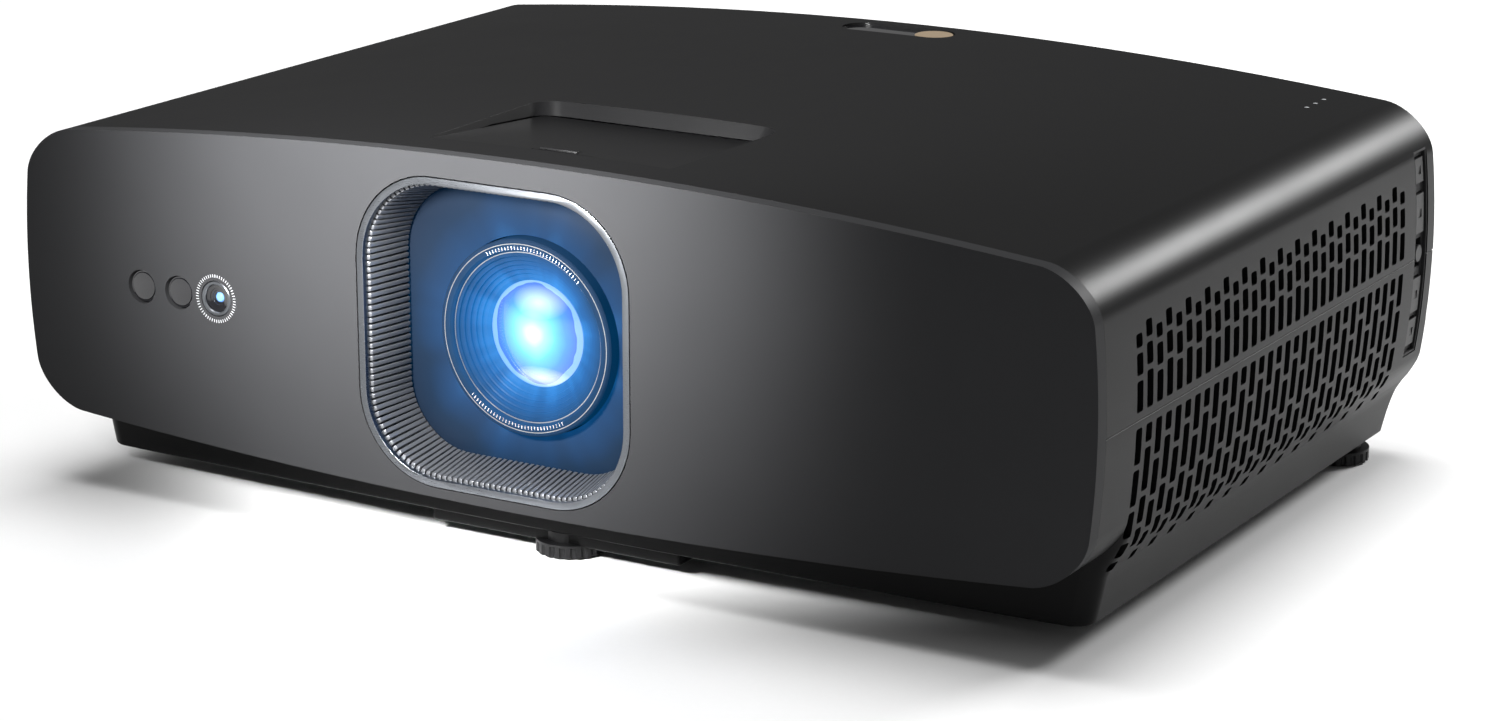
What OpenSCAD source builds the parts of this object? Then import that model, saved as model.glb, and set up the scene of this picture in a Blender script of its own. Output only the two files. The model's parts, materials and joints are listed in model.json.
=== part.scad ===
// Home projector: barrel-shaped housing on three screw feet, with a ribbed lens opening,
// a sliding adjustment door, a shifting zoom lens and a side keypad.
// Millimetres. The front faces -Y, +Z is up, and the origin lies on the table under the middle.

/* [Housing] */
// Width over the sides
body_w = 420; // [360:1:500]
// Depth from the front face to the rear rim
body_d = 282; // [270:1:338]
// Height of the top at its crown, above the table
body_h = 140.5; // [139:0.5:150]
// Height of the underside above the table
base_h = 9; // [8:0.5:10]
// Height of the joint between the top cover and the bottom case
split_h = 78; // [77.5:0.5:78.5]
// Thickness of the housing walls
wall = 2.5; // [2:0.1:3]
// How far the top falls from its crown to its corners
crown_sag = 11.8; // [9:0.1:12]
// How far the sides fall in from their widest line
side_sag = 6; // [3:0.1:7]
// Height of the front panel's lower edge at the middle
chin_h = 21; // [18:0.5:22]
// How far the front panel's lower edge rises towards its corners
chin_sag = 9.5; // [6:0.1:10]
// Length cut off each upper corner by its round
top_round = 15; // [12:0.5:20]
// Length cut off each lower front corner by its round
chin_round = 16; // [12:0.5:20]
// How far the base stands in from the sides
plinth_inset = 4.5; // [3:0.1:6]
// How far the base stands back from the front face at its ends
plinth_back = 24; // [22:0.5:28]
// How far the front of the base bows forward at the middle
plinth_bow = 4.3; // [2:0.1:6]
// Radius of the base's front corners
plinth_r = 9; // [6:0.5:12]
// How far the base stands in from the rear rim
plinth_rear = 10; // [7:0.5:12]

/* [Front panel] */
// Thickness of the front panel with its rim
fascia_t = 6; // [5:0.1:7]
// Thickness of the front panel's face
fascia_skin = 2.5; // [2:0.1:3]
// Left to right place of the lens opening's centre
funnel_x = -11; // [-20:0.5:0]
// Height of the lens opening's centre
funnel_z = 78.4; // [77:0.1:80]
// Width of the lens opening over its bright trim
bezel_w = 108; // [100:0.5:112]
// Height of the lens opening over its bright trim
bezel_h = 107; // [100:0.5:108]
// Corner radius of the lens opening
bezel_r = 31; // [26:0.5:34]
// Width of the bright trim
trim_w = 2.5; // [1.5:0.1:3]
// Depth of the ribbed funnel behind the front face
funnel_d = 21; // [18:0.5:22]
// How far each funnel wall closes in over its depth
funnel_taper = 4; // [3:0.1:5]
// Wall of the funnel
funnel_wall = 1.4; // [1:0.1:1.6]
// Radius of each infrared window
window_r = 6; // [4:0.1:7]
// Place of the outer infrared window left of the middle
window_x = 158.3; // [140:0.1:160]
// Spacing of the two infrared windows and the camera
window_pitch = 16.3; // [15.5:0.1:18]
// Height of the windows and the camera
window_z = 78.3; // [70:0.1:90]

/* [Vents] */
// Columns of slots in each side
vent_cols = 31; // [25:2:31]
// Spacing of the columns
vent_pitch = 7.35; // [6.8:0.05:7.4]
// Width of each slot
slot_w = 4.2; // [3:0.1:4.6]
// Distance from the front face to the first column
vent_start = 30; // [28:0.5:34]

/* [Lens] */
// Left to right place of the lens axis
lens_x = -9; // [-12:0.5:-6]
// Height of the lens axis
lens_z = 76.3; // [75:0.1:78]
// Radius of the lettered ring round the front lens
lens_ring_r = 34; // [33:0.1:34.5]
// Radius of the front glass
glass_r = 18.5; // [15:0.1:20]
// Outer radius of the lens barrel
barrel_r = 32; // [31:0.1:32.4]
// Wall of the lens barrel
barrel_wall = 4; // [3:0.1:5]
// Outer radius of the focus and zoom rings
ring_r = 37.5; // [36:0.1:38]
// Distance from the front face to the lettered ring
lens_back = 17; // [16:0.5:18]
// Up and down travel of the lens, each way
shift_v = 3; // [2:0.1:3.2]
// Left and right travel of the lens, each way
shift_h = 1.5; // [1:0.1:1.8]
// Travel of the front lens group for focus, each way
focus_travel = 1.5; // [1:0.1:1.5]
// Radius of the lens shift dials
dial_r = 11; // [9:0.5:11]

/* [Sliding door] */
// Width of the door
door_w = 94; // [84:1:96]
// Length of the door
door_l = 68; // [60:1:69]
// Thickness of the door
door_t = 2; // [1.5:0.1:2.2]
// Fall of the door from its front edge to its rear edge
door_fall = 4.8; // [4:0.1:5.5]
// How far the door slides back
door_travel = 55; // [40:1:56]

/* [Keypad] */
// Width of the keypad's recess
pad_w = 12; // [11:0.1:12.5]
// Lower end of the keypad's recess above the table
pad_low = 41; // [40:0.5:42]
// Upper end of the keypad's recess above the table
pad_high = 117; // [116:0.5:118]
// Travel of each key
key_travel = 0.8; // [0.5:0.1:1]

/* [Feet] */
// Radius of each foot
foot_r = 12.2; // [10:0.1:14]
// Radius of the foot's threaded stud
stud_r = 3; // [2.5:0.1:3.5]
// How far each foot screws out
foot_travel = 12; // [8:1:14]
// Left to right distance between the rear feet
rear_foot_edge = 26; // [24:1:50]

/* [Ceiling mount] */
// Left to right spacing of the threaded inserts
mount_dx = 200; // [180:1:220]
// Front to back spacing of the threaded inserts
mount_dy = 130; // [120:1:140]
// Radius of the threaded holes
mount_hole_r = 2; // [1.8:0.1:2.2]
// Depth of the threaded holes
mount_depth = 12; // [8:1:14]

/* [Fans] */
// Side length of the fan frames
fan_s = 80; // [72:1:82]
// Depth of the fan frames
fan_d = 25; // [20:1:26]

/* [Hidden] */
$fn = 48;

half_w = body_w / 2;
front_y = -body_d / 2;
rear_y = body_d / 2;
shell_front = front_y + fascia_t;
mid_h = (body_h + chin_h) / 2;
half_h = (body_h - chin_h) / 2;
floor_z = base_h + wall;
gap = 0.3;
run_gap = 0.05;
big = 600;

// ---- outline of the housing, seen from the front ----

function bezier(a, b, c, d, t) =
    pow(1 - t, 3) * a + 3 * pow(1 - t, 2) * t * b + 3 * (1 - t) * t * t * c + t * t * t * d;
function unit(v) = v / norm(v);
function smooth(t) = t <= 0 ? 0 : t >= 1 ? 1 : t * t * (3 - 2 * t);
function top_z(x, e) = body_h - e - crown_sag * pow(x / half_w, 2);
function chin_z(x, e) = chin_h + e + chin_sag * pow(x / half_w, 2);
function side_x(z, e) = half_w - e - side_sag * pow((z - mid_h) / half_h, 2);
function side_slope(z) = -2 * side_sag * (z - mid_h) / pow(half_h, 2);

// Right half of the outline from the crown down to height stop, inset by e
function upper_half(e, stop) =
    let(
        r = max(top_round - e / 2, 2),
        x1 = half_w - e - side_sag - r,
        z1 = body_h - e - crown_sag - r,
        a = [x1, top_z(x1, e)],
        d = [side_x(z1, e), z1],
        ta = unit([1, -2 * crown_sag * x1 / pow(half_w, 2)]),
        td = unit([side_slope(z1), 1]),
        k = 0.55 * r
    )
    concat(
        [for (i = [0:9]) let(x = x1 * i / 10) [x, top_z(x, e)]],
        [for (i = [0:6]) bezier(a, a + ta * k, d + td * k, d, i / 6)],
        [for (i = [1:4]) let(z = z1 + (stop - z1) * i / 4) [side_x(z, e), z]]
    );

// Right half of the outline from height start down to the middle of the chin, inset by e
function lower_half(e, start) =
    let(
        r = max(chin_round - e / 2, 2),
        x1 = half_w - e - side_sag - r,
        z1 = chin_h + e + chin_sag + r,
        a = [side_x(z1, e), z1],
        d = [x1, chin_z(x1, e)],
        ta = unit([side_slope(z1), 1]),
        td = unit([1, 2 * chin_sag * x1 / pow(half_w, 2)]),
        k = 0.55 * r
    )
    concat(
        [for (i = [0:3]) let(z = start + (z1 - start) * i / 4) [side_x(z, e), z]],
        [for (i = [0:6]) bezier(a, a - ta * k, d + td * k, d, i / 6)],
        [for (i = [1:9]) let(x = x1 * (9 - i) / 9) [x, chin_z(x, e)]]
    );

function mirrored(pts) = [for (i = [len(pts) - 1:-1:0]) [-pts[i][0], pts[i][1]]];
function off_axis(pts) = [for (p = pts) if (abs(p[0]) > 0.001) p];

// Whole front outline, inset by e
function outline(e) =
    let(right = concat(upper_half(e, split_h), [for (i = [1:19]) lower_half(e, split_h)[i]]))
    concat(right, mirrored(off_axis(right)));

// Extrudes an X-Z profile along Y from y0 to y1
module along_y(y0, y1) {
    translate([0, y1, 0]) rotate([90, 0, 0]) linear_extrude(height = y1 - y0) children();
}

// Extrudes a Y-Z profile along X from x0 to x1
module along_x(x0, x1) {
    translate([x0, 0, 0]) rotate([90, 0, 90]) linear_extrude(height = x1 - x0) children();
}

module block(x0, x1, y0, y1, z0, z1) {
    translate([x0, y0, z0]) cube([x1 - x0, y1 - y0, z1 - z0]);
}

module rod_y(x, z, r, y0, y1) {
    translate([x, y1, z]) rotate([90, 0, 0]) cylinder(r = r, h = y1 - y0);
}

module rod_x(y, z, r, x0, x1) {
    translate([x0, y, z]) rotate([0, 90, 0]) cylinder(r = r, h = x1 - x0);
}

module post(x, y, r, z0, z1) {
    translate([x, y, z0]) cylinder(r = r, h = z1 - z0);
}

function round_rect(w, h, r) =
    [for (c = [[1, 1, 0], [-1, 1, 90], [-1, -1, 180], [1, -1, 270]], i = [0:7])
        [c[0] * (w / 2 - r) + r * cos(c[2] + i * 90 / 7), c[1] * (h / 2 - r) + r * sin(c[2] + i * 90 / 7)]];

// ---- places that several pieces share ----

screw_x = half_w - 30;
screw_front = front_y + 29;
screw_rear = rear_y - 53;
screw_mid_x = 100;
screw_spots = [[-screw_x, screw_front], [screw_x, screw_front], [-screw_x, screw_rear],
    [screw_x, screw_rear], [-screw_mid_x, screw_front], [screw_mid_x, screw_front]];
screw_post_r = 5;
screw_shaft_r = 1.5;
screw_head_r = 3;
screw_head_z = split_h - 15;

front_foot_y = front_y + 30;
rear_foot_y = rear_y - 21;
rear_foot_gap = body_w - 2 * rear_foot_edge;
foot_spots = [[0, front_foot_y], [rear_foot_gap / 2, rear_foot_y], [-rear_foot_gap / 2, rear_foot_y]];
foot_disc_t = 5.2;
foot_collar_z = base_h - 0.4;
foot_boss_r = stud_r + 3;
foot_boss_top = floor_z + foot_travel + 10;
stud_top = foot_boss_top + 2;
sole_r = foot_r - 1.8;
sole_t = 1.2;
sole_pin_r = 1.6;
sole_pin_top = 3.4;

pad_x = -2;
pad_half = 50;
pad_z = 4.5;
pad_back = front_y + 66;

mount_y0 = -45;
mount_spots = [for (sx = [-1, 1], y = [mount_y0, mount_y0 + mount_dy]) [sx * mount_dx / 2, y]];
mount_boss_r = 5;
mount_boss_top = base_h + mount_depth + 2;

door_x = -1.5;
door_tilt = atan(door_fall / door_l);
door_front = front_y + 21.5;
door_top_front = top_z(door_w / 2, 0) - 0.2;
recess_w = door_w + 2 * gap;
recess_l = door_l + 2 * gap;
door_end = door_front + door_l + gap;
rail_w = 3;
rail_end = door_front + door_l + door_travel + 2;

keypad_y1 = rear_y - 6.4;
keypad_y0 = keypad_y1 - pad_w;
pad_face = half_w - 6;
keypad_depth = 5;
pad_board_t = 1.6;
key_w = 7.4;
key_y = (keypad_y0 + keypad_y1) / 2;
pad_floor_inset = 1.8;
key_inset = 0.8;
key_flange_back = 3;

bezel_gap = 0.4;
funnel_flange = 4;
funnel_flange_t = 1.2;
panel_y = rear_y - 5;
panel_t = 2.5;
panel_back = panel_y + panel_t;

ring_front = front_y + lens_back;
barrel_front = ring_front + 13.5;
barrel_rear = -40;
focus_y0 = barrel_front + 1.5;
focus_y1 = focus_y0 + 13;
zoom_y0 = focus_y1 + 8;
zoom_y1 = zoom_y0 + 14;
shroud_y = front_y + funnel_d + 0.5;
shroud_t = 1.2;
mount_plate_y = -50;
engine_y0 = -46;
engine_y1 = 24;
engine_x0 = -70;
engine_x1 = 75;
engine_z0 = 34;
engine_z1 = lens_z + barrel_r + shift_v + 4;
engine_wall = 3;
frame_y0 = mount_plate_y - 6;
carriage_y0 = frame_y0 - 6;
frame_half = barrel_r + 6;
arm_t = 3;
arm_x = max(ring_r + 2.5, lens_ring_r + 6) + arm_t / 2;
rod_gap = frame_half + 8;
rod_r = 2;
rod_y_place = frame_y0 + 2.5;

board_y = rear_y - 19;
board_t = 1.6;
exhaust_x0 = -half_w + 10;
intake_x1 = half_w - 10;
fan_z0 = 30;
fan_z = fan_z0 + fan_s / 2;
fan_front_y = front_y + 41 + fan_s / 2;
fan_rear_y = fan_front_y + fan_s + 5;
intake_y = 0;
sink_x0 = engine_x1 + 20;
sink_x1 = intake_x1 - fan_d - 10;
led_spots = [[-28, 58], [-28, 86], [4, 58], [4, 86]];
led_t = 6;
pipe_r = 3;

speaker_w = 56;
speaker_d = 34;
speaker_h = 50;
speaker_z = 60;
speaker_x = half_w - 26 - speaker_w / 2;
speaker_y1 = panel_y - 1;
board_x0 = -82;
board_x1 = speaker_x - speaker_w / 2 - 20;
cone_r = 19;

socket_z = 58;

power_x0 = -half_w + 42;
power_x1 = engine_x0 - 20;
power_y0 = 20;
power_y1 = speaker_y1 - speaker_d - 1;
power_z = 28;

// ---- housing ----

module shell_ring(upper) {
    out = upper ? upper_half(0, split_h) : lower_half(0, split_h);
    inn = upper ? upper_half(wall, split_h) : lower_half(wall, split_h);
    o = upper ? concat(mirrored(off_axis(out)), out) : concat(out, mirrored(off_axis(out)));
    i = upper ? concat(mirrored(off_axis(inn)), inn) : concat(inn, mirrored(off_axis(inn)));
    polygon(concat(o, [for (k = [len(i) - 1:-1:0]) i[k]]));
}

// Half-section of the base: X against height, inset by e
flare_z = 39;
flare_h = 15;
function base_x(z, e) = side_x(z, e) - plinth_inset * smooth((flare_z - z) / flare_h);
function base_section(e, top) =
    let(
        low = base_h + e,
        foot_round = 1.8,
        right = concat(
            [for (i = [0:9]) let(z = top + (low + foot_round - top) * i / 9) [base_x(z, e), z]],
            [[base_x(low, e) - 0.5, low + 0.5], [base_x(low, e) - foot_round, low]]
        )
    )
    concat(right, mirrored(right));

// Plan of the base: the front is bowed and its corners are round
function plan(e) =
    let(
        r = max(plinth_r - e, 1),
        x1 = half_w - side_sag - plinth_inset - 2.4 - e - r,
        y0 = front_y + plinth_back + e,
        y_at = function(x) y0 - plinth_bow * (1 - pow(x / half_w, 2)),
        front = [for (i = [-8:8]) let(x = x1 * i / 8) [x, y_at(x)]],
        corner = [for (i = [1:6]) [x1 + r * sin(i * 15), y_at(x1) + r - r * cos(i * 15)]]
    )
    concat(
        front, corner, [[half_w, y_at(x1) + 3 * r]], [[half_w, rear_y], [-half_w, rear_y]],
        [[-half_w, y_at(x1) + 3 * r]], mirrored(corner)
    );

// Side view of the base's rear: it curves in under the rear rim
function rear_curve(e) =
    let(
        y1 = rear_y - e,
        low = base_h + e - (e > 0 ? 0 : 1)
    )
    concat(
        [[front_y, low], [y1 - plinth_rear, low]],
        [for (i = [1:5]) [y1 - plinth_rear * (1 - pow(i / 5, 3)), base_h + e + 21 * i / 5]],
        [[y1, 60], [front_y, 60]]
    );

base_top = 46;

module base_solid(e) {
    intersection() {
        along_y(front_y, rear_y) polygon(base_section(e, base_top));
        translate([0, 0, base_h - 1]) linear_extrude(height = base_top) polygon(plan(e));
        along_x(-big / 2, big / 2) polygon(rear_curve(e));
    }
}

// Space inside the case's outer faces, moved in by e
module lower_solid(e) {
    along_y(shell_front, rear_y)
        polygon(concat(lower_half(e, split_h), mirrored(off_axis(lower_half(e, split_h)))));
    base_solid(e);
}

module lower_shell() {
    difference() {
        lower_solid(0);
        along_y(shell_front - 1, rear_y + 1)
            polygon(concat(
                [[side_x(split_h, wall), split_h + 1]], lower_half(wall, split_h),
                mirrored(off_axis(lower_half(wall, split_h))), [[-side_x(split_h, wall), split_h + 1]]
            ));
        base_solid(wall);
    }
}

module upper_shell() {
    along_y(shell_front, rear_y) shell_ring(true);
}

vent_y0 = front_y + vent_start;
vent_end = vent_y0 + (vent_cols - 1) * vent_pitch;
vent_edge = slot_w / 2 + 2;
upper_low = split_h + 2;
upper_high = split_h + 33;
lower_low = base_h + 17;
lower_high = split_h - 2;

module vent_window(z0, z1) {
    for (s = [-1, 1]) block(s > 0 ? half_w - 24 : -half_w - 1, s > 0 ? half_w + 1 : -half_w + 24,
        vent_y0 - vent_edge, vent_end + vent_edge, z0, z1);
}

// Slots of one column as [low, high] distances from the joint between cover and case
upper_cells = [[[3, 12], [14.5, 21], [24, 27.5]], [[3, 14], [16.5, 23], [26, 30.5]]];
lower_cells = [[[3, 14.4], [16.6, 28], [30.2, 38.6], [40.6, 45.4]], [[3, 8.4], [10.6, 24.6], [26.8, 35.4], [37.4, 43.4]]];

module slots(cells, way) {
    for (c = [0:vent_cols - 1]) for (cell = cells[c % 2]) {
        z0 = way > 0 ? split_h + cell[0] : split_h - cell[1];
        for (s = [-1, 1])
            translate([s > 0 ? half_w - 24 : -half_w - 2, vent_y0 + c * vent_pitch - slot_w / 2, z0])
                cube([26, slot_w, cell[1] - cell[0]]);
    }
}

module vent_grilles() {
    color("#1b1b1c") {
        difference() {
            intersection() {
                upper_shell();
                vent_window(upper_low, upper_high);
            }
            slots(upper_cells, 1);
        }
        difference() {
            intersection() {
                lower_shell();
                vent_window(lower_low, lower_high);
            }
            slots(lower_cells, -1);
        }
    }
}

module keypad_window() {
    block(half_w - 24, half_w + 2, keypad_y0, keypad_y1, pad_low, pad_high);
}

module door_hole(grow) {
    block(door_x - recess_w / 2 - grow, door_x + recess_w / 2 + grow, door_front - gap - grow,
        door_end + grow, body_h - 20, body_h + 1);
}

// Turns and moves a door-shaped piece onto the door's slope
module on_slope() {
    translate([door_x, door_front, door_top_front]) rotate([-door_tilt, 0, 0]) children();
}

pill_x = -4;
pill_y = rear_y - 14;
pill_l = 47;
pill_w = 16;
pill_depth = 1;

module pill(l, w, z0, z1) {
    for (s = [-1, 1]) post(pill_x + s * (l - w) / 2, pill_y, w / 2, z0, z1);
    block(pill_x - (l - w) / 2, pill_x + (l - w) / 2, pill_y - w / 2, pill_y + w / 2, z0, z1);
}

light_x = half_w - 38;
light_r = 1;
light_spots = [for (i = [0:2]) [light_x, rear_y - 33 + i * 8]];

// Space well inside the skin of the cover
module upper_core() {
    along_y(shell_front + 2, rear_y) polygon(concat(
        mirrored(off_axis(upper_half(wall - 0.7, split_h))), upper_half(wall - 0.7, split_h)));
}

// Walls that hang from the skin round the door's recess
module recess_walls() {
    difference() {
        intersection() {
            door_hole(2);
            upper_core();
        }
        on_slope() translate([-big / 2, -10, -big]) cube([big, big, big + gap]);
    }
}

// Rails beside the door, and the ledges under it that it slides on
module door_rails() {
    for (s = [-1, 1]) intersection() {
        on_slope() translate([s * (door_w / 2 + 2 * gap + rail_w / 2), 0, 0]) {
            translate([-rail_w / 2, -gap, -door_t - 3]) cube([rail_w, rail_end - door_front, door_t + 12]);
            translate([s > 0 ? -rail_w / 2 - 3 : -rail_w / 2, -gap, -door_t - 3])
                cube([rail_w + 3, rail_end - door_front, 3 - gap]);
        }
        upper_core();
    }
}

module top_cover() {
    color("#242425") difference() {
        union() {
            difference() {
                union() {
                    upper_shell();
                    recess_walls();
                    for (p = screw_spots) post(p[0], p[1], screw_post_r, split_h, top_z(p[0], wall) + 0.6);
                    block(pill_x - pill_l / 2 - 2, pill_x + pill_l / 2 + 2, pill_y - pill_w / 2 - 2,
                        pill_y + pill_w / 2 + 1, body_h - 6, top_z(pill_l / 2 + 6, 1));
                }
                door_hole(0);
            }
            door_rails();
        }
        vent_window(upper_low, upper_high);
        keypad_window();
        pill(pill_l, pill_w, body_h - 4, body_h + 1);
        for (p = light_spots) post(p[0], p[1], light_r, body_h - 30, body_h);
        for (p = screw_spots) post(p[0], p[1], screw_shaft_r, split_h - 1, split_h + 14);
    }
}

// Posts and ledges that stand on the floor of the case
module case_posts() {
    for (p = screw_spots) post(p[0], p[1], screw_post_r, base_h + 1, split_h);
    for (x = [engine_x0 + 8, engine_x1 - 8], y = [engine_y0 + 8, engine_y1 - 8])
        post(x, y, 4, base_h + 1, engine_z0);
    for (x = [sink_x0 + 8, sink_x1 - 8], y = [intake_y - 44, intake_y + 44])
        post(x, y, 4, base_h + 1, engine_z0);
    for (x = [power_x0 + 5, power_x1 - 5], y = [power_y0 + 5, power_y1 - 5])
        post(x, y, 3, base_h + 1, power_z);
    for (s = [-1, 1], y = [speaker_y1 - 8, speaker_y1 - speaker_d + 8])
        post(s * (speaker_x - speaker_w / 2 + 6), y, 4, base_h + 1, speaker_z);
    for (y = [fan_front_y, fan_rear_y])
        block(exhaust_x0, exhaust_x0 + fan_d, y - fan_s / 2 + 4, y + fan_s / 2 - 4, base_h + 1, fan_z0);
    block(intake_x1 - fan_d, intake_x1, intake_y - fan_s / 2 + 4, intake_y + fan_s / 2 - 4,
        base_h + 1, fan_z0);
    for (x = [board_x0 + 22, board_x1 - 18]) block(x, x + 6, board_y - 6, board_y, base_h + 1, 50);
}

module bottom_case() {
    color("#202021") difference() {
        union() {
            lower_shell();
            // raised pad round the front foot
            translate([pad_x, 0, 0]) along_y_pad();
            intersection() {
                lower_solid(0.6);
                case_posts();
            }
            for (p = foot_spots) post(p[0], p[1], foot_boss_r, base_h + 1, foot_boss_top);
            for (p = mount_spots) post(p[0], p[1], mount_boss_r, base_h + 1, mount_boss_top);
        }
        vent_window(lower_low, lower_high);
        keypad_window();
        for (p = foot_spots) {
            post(p[0], p[1], stud_r + run_gap, 0, foot_boss_top + 1);
            post(p[0], p[1], foot_r + 1.3, 0, base_h);
        }
        for (p = mount_spots) post(p[0], p[1], mount_hole_r, base_h - 1, base_h + mount_depth);
        for (p = screw_spots) {
            post(p[0], p[1], screw_head_r + 0.4, 0, screw_head_z + 2.5);
            post(p[0], p[1], screw_shaft_r + 0.2, 0, split_h + 1);
        }
        // slot in the front of the raised pad
        block(pad_x + 2, pad_x + 14, front_y, front_y + plinth_back - plinth_bow + 1.2, 6, 8);
        // bottom vents under the fans
        for (i = [0:6]) block(-60 + i * 8, -56 + i * 8, 50, 90, 0, floor_z + 1);
    }
}

module along_y_pad() {
    intersection() {
        along_y(front_y, pad_back) polygon([[-pad_half - 4, base_h + 1], [-pad_half - 4, base_h],
            [-pad_half, pad_z], [pad_half, pad_z], [pad_half + 4, base_h], [pad_half + 4, base_h + 1]]);
        translate([-pad_x, 0, 0]) linear_extrude(height = base_h + 1) polygon(plan(0));
    }
}

module front_fascia() {
    color("#3a3b3d") difference() {
        along_y(front_y, shell_front) polygon(outline(0));
        along_y(front_y + fascia_skin, shell_front + 1) polygon(outline(wall));
        translate([funnel_x, 0, funnel_z]) along_y(front_y - 1, shell_front + 1)
            polygon(round_rect(bezel_w + 2 * bezel_gap, bezel_h + 2 * bezel_gap, bezel_r + bezel_gap));
        for (i = [0:1]) rod_y(-window_x + i * window_pitch, window_z, window_r, front_y - 1, shell_front);
        rod_y(-window_x + 2 * window_pitch, window_z, window_r + 0.4, front_y - 1, shell_front);
    }
}

module lens_bezel() {
    color("#9aa0a6") translate([funnel_x, 0, funnel_z]) difference() {
        along_y(front_y, front_y + fascia_skin) polygon(round_rect(bezel_w, bezel_h, bezel_r));
        along_y(front_y - 1, front_y + fascia_skin + 1)
            polygon(round_rect(funnel_in_w, funnel_in_h, bezel_r - trim_w));
    }
}

funnel_in_w = bezel_w - 2 * trim_w;
funnel_in_h = bezel_h - 2 * trim_w;
funnel_len = funnel_d - fascia_skin;

module funnel_taper_solid(grow, extra) {
    k = 1 - 2 * funnel_taper / (funnel_in_w + 2 * grow);
    translate([0, front_y + fascia_skin - extra, 0]) rotate([-90, 0, 0])
        linear_extrude(height = funnel_len + 2 * extra, scale = k)
            polygon(round_rect(funnel_in_w + 2 * grow, funnel_in_h + 2 * grow, bezel_r - trim_w + grow));
}

module lens_funnel() {
    color("#6f7275") difference() {
        union() {
            translate([funnel_x, 0, funnel_z]) funnel_taper_solid(funnel_wall, 0);
            // flange that fastens the funnel and the trim to the back of the front panel
            intersection() {
                translate([funnel_x, 0, funnel_z])
                    along_y(front_y + fascia_skin, front_y + fascia_skin + funnel_flange_t)
                        polygon(round_rect(bezel_w + 2 * funnel_flange, bezel_h + 2 * funnel_flange,
                            bezel_r + funnel_flange));
                along_y(front_y, shell_front) polygon(outline(wall + run_gap));
            }
        }
        translate([funnel_x, 0, funnel_z]) funnel_taper_solid(0, 0.01);
    }
}

module rear_panel() {
    color("#1d1d1e") difference() {
        along_y(panel_y, panel_back) polygon(outline(wall + 0.1));
        for (x = hdmi_spots) block(x - 8.2, x + 8.2, panel_y - 1, panel_back + 1, socket_z - 3.8, socket_z + 3.8);
        for (x = usb_spots) block(x - 7.7, x + 7.7, panel_y - 1, panel_back + 1, socket_z - 4.2, socket_z + 4.2);
        for (x = jack_spots) rod_y(x, socket_z, 4.2, panel_y - 1, panel_back + 1);
        block(serial_x - 16, serial_x + 16, panel_y - 1, panel_back + 1, socket_z - 7, socket_z + 7);
        block(-inlet_x - 14.2, -inlet_x + 14.2, panel_y - 1, panel_back + 1, inlet_z - 10.2, inlet_z + 10.2);
        for (s = [-1, 1], i = [-5:5])
            block(s * speaker_x + i * 4.4 - 1.1, s * speaker_x + i * 4.4 + 1.1, panel_y - 1, panel_back + 1,
                speaker_z + 7, speaker_z + speaker_h - 7);
        block(lock_x - 3.5, lock_x + 3.5, panel_y - 1, panel_back + 1, 38, 41);
        for (i = [-16:16]) block(i * 6.4 - 1.6, i * 6.4 + 1.6, panel_y - 1, panel_back + 1, 92, 112);
    }
}

lock_x = half_w - 50;

module lens_door() {
    color("#222223") on_slope() difference() {
        translate([-door_w / 2, 0, -door_t]) cube([door_w, door_l, door_t]);
        // finger scoop: deepest at its rear wall
        translate([1.5 + 1, 5, 0]) rotate([12, 0, 0]) translate([-12, -8, 0]) cube([24, 9.5, 5]);
    }
}

module ir_windows() {
    color("#0c0c0e") for (i = [0:1])
        rod_y(-window_x + i * window_pitch, window_z, window_r, front_y + 0.8, front_y + fascia_skin);
}

module camera_ring() {
    color("#8c9196") difference() {
        rod_y(-window_x + 2 * window_pitch, window_z, window_r + 0.4, front_y - 0.0, front_y + fascia_skin + 1);
        rod_y(-window_x + 2 * window_pitch, window_z, window_r - 1.2, front_y - 1, front_y + fascia_skin + 2);
    }
}

module camera_eye() {
    color("#101216") difference() {
        rod_y(-window_x + 2 * window_pitch, window_z, window_r - 1.2, front_y + 1, front_y + fascia_skin + 6);
        rod_y(-window_x + 2 * window_pitch, window_z, 2.2, front_y, front_y + 2);
    }
}

module top_sensor_window() {
    color("#08080a") difference() {
        pill(pill_l - 2 * run_gap, pill_w - 2 * run_gap, body_h - 4, top_z(pill_l / 2, 0) - pill_depth);
        post(pill_x + (pill_l - pill_w) / 2, pill_y, pill_w / 2 - 0.6, body_h - 3, body_h);
    }
}

module badge_disc() {
    color("#c9a57a") post(pill_x + (pill_l - pill_w) / 2, pill_y, pill_w / 2 - 0.6, body_h - 3,
        top_z(pill_l / 2, 0) - 0.2);
}

module status_lights() {
    color("#d8dde0") for (p = light_spots)
        post(p[0], p[1], light_r, top_z(p[0], wall) - 6, top_z(p[0], 0) - 0.1);
}

module case_screws() {
    color("#8a8d90") for (p = screw_spots) difference() {
        union() {
            post(p[0], p[1], screw_head_r, screw_head_z, screw_head_z + 2.5);
            post(p[0], p[1], screw_shaft_r, screw_head_z + 2, split_h + 12);
        }
        translate([p[0], p[1], screw_head_z - 0.01]) cylinder(r = 1.3, h = 1.3, $fn = 6);
    }
}

// ---- lens and its shift mechanism ----

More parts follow.
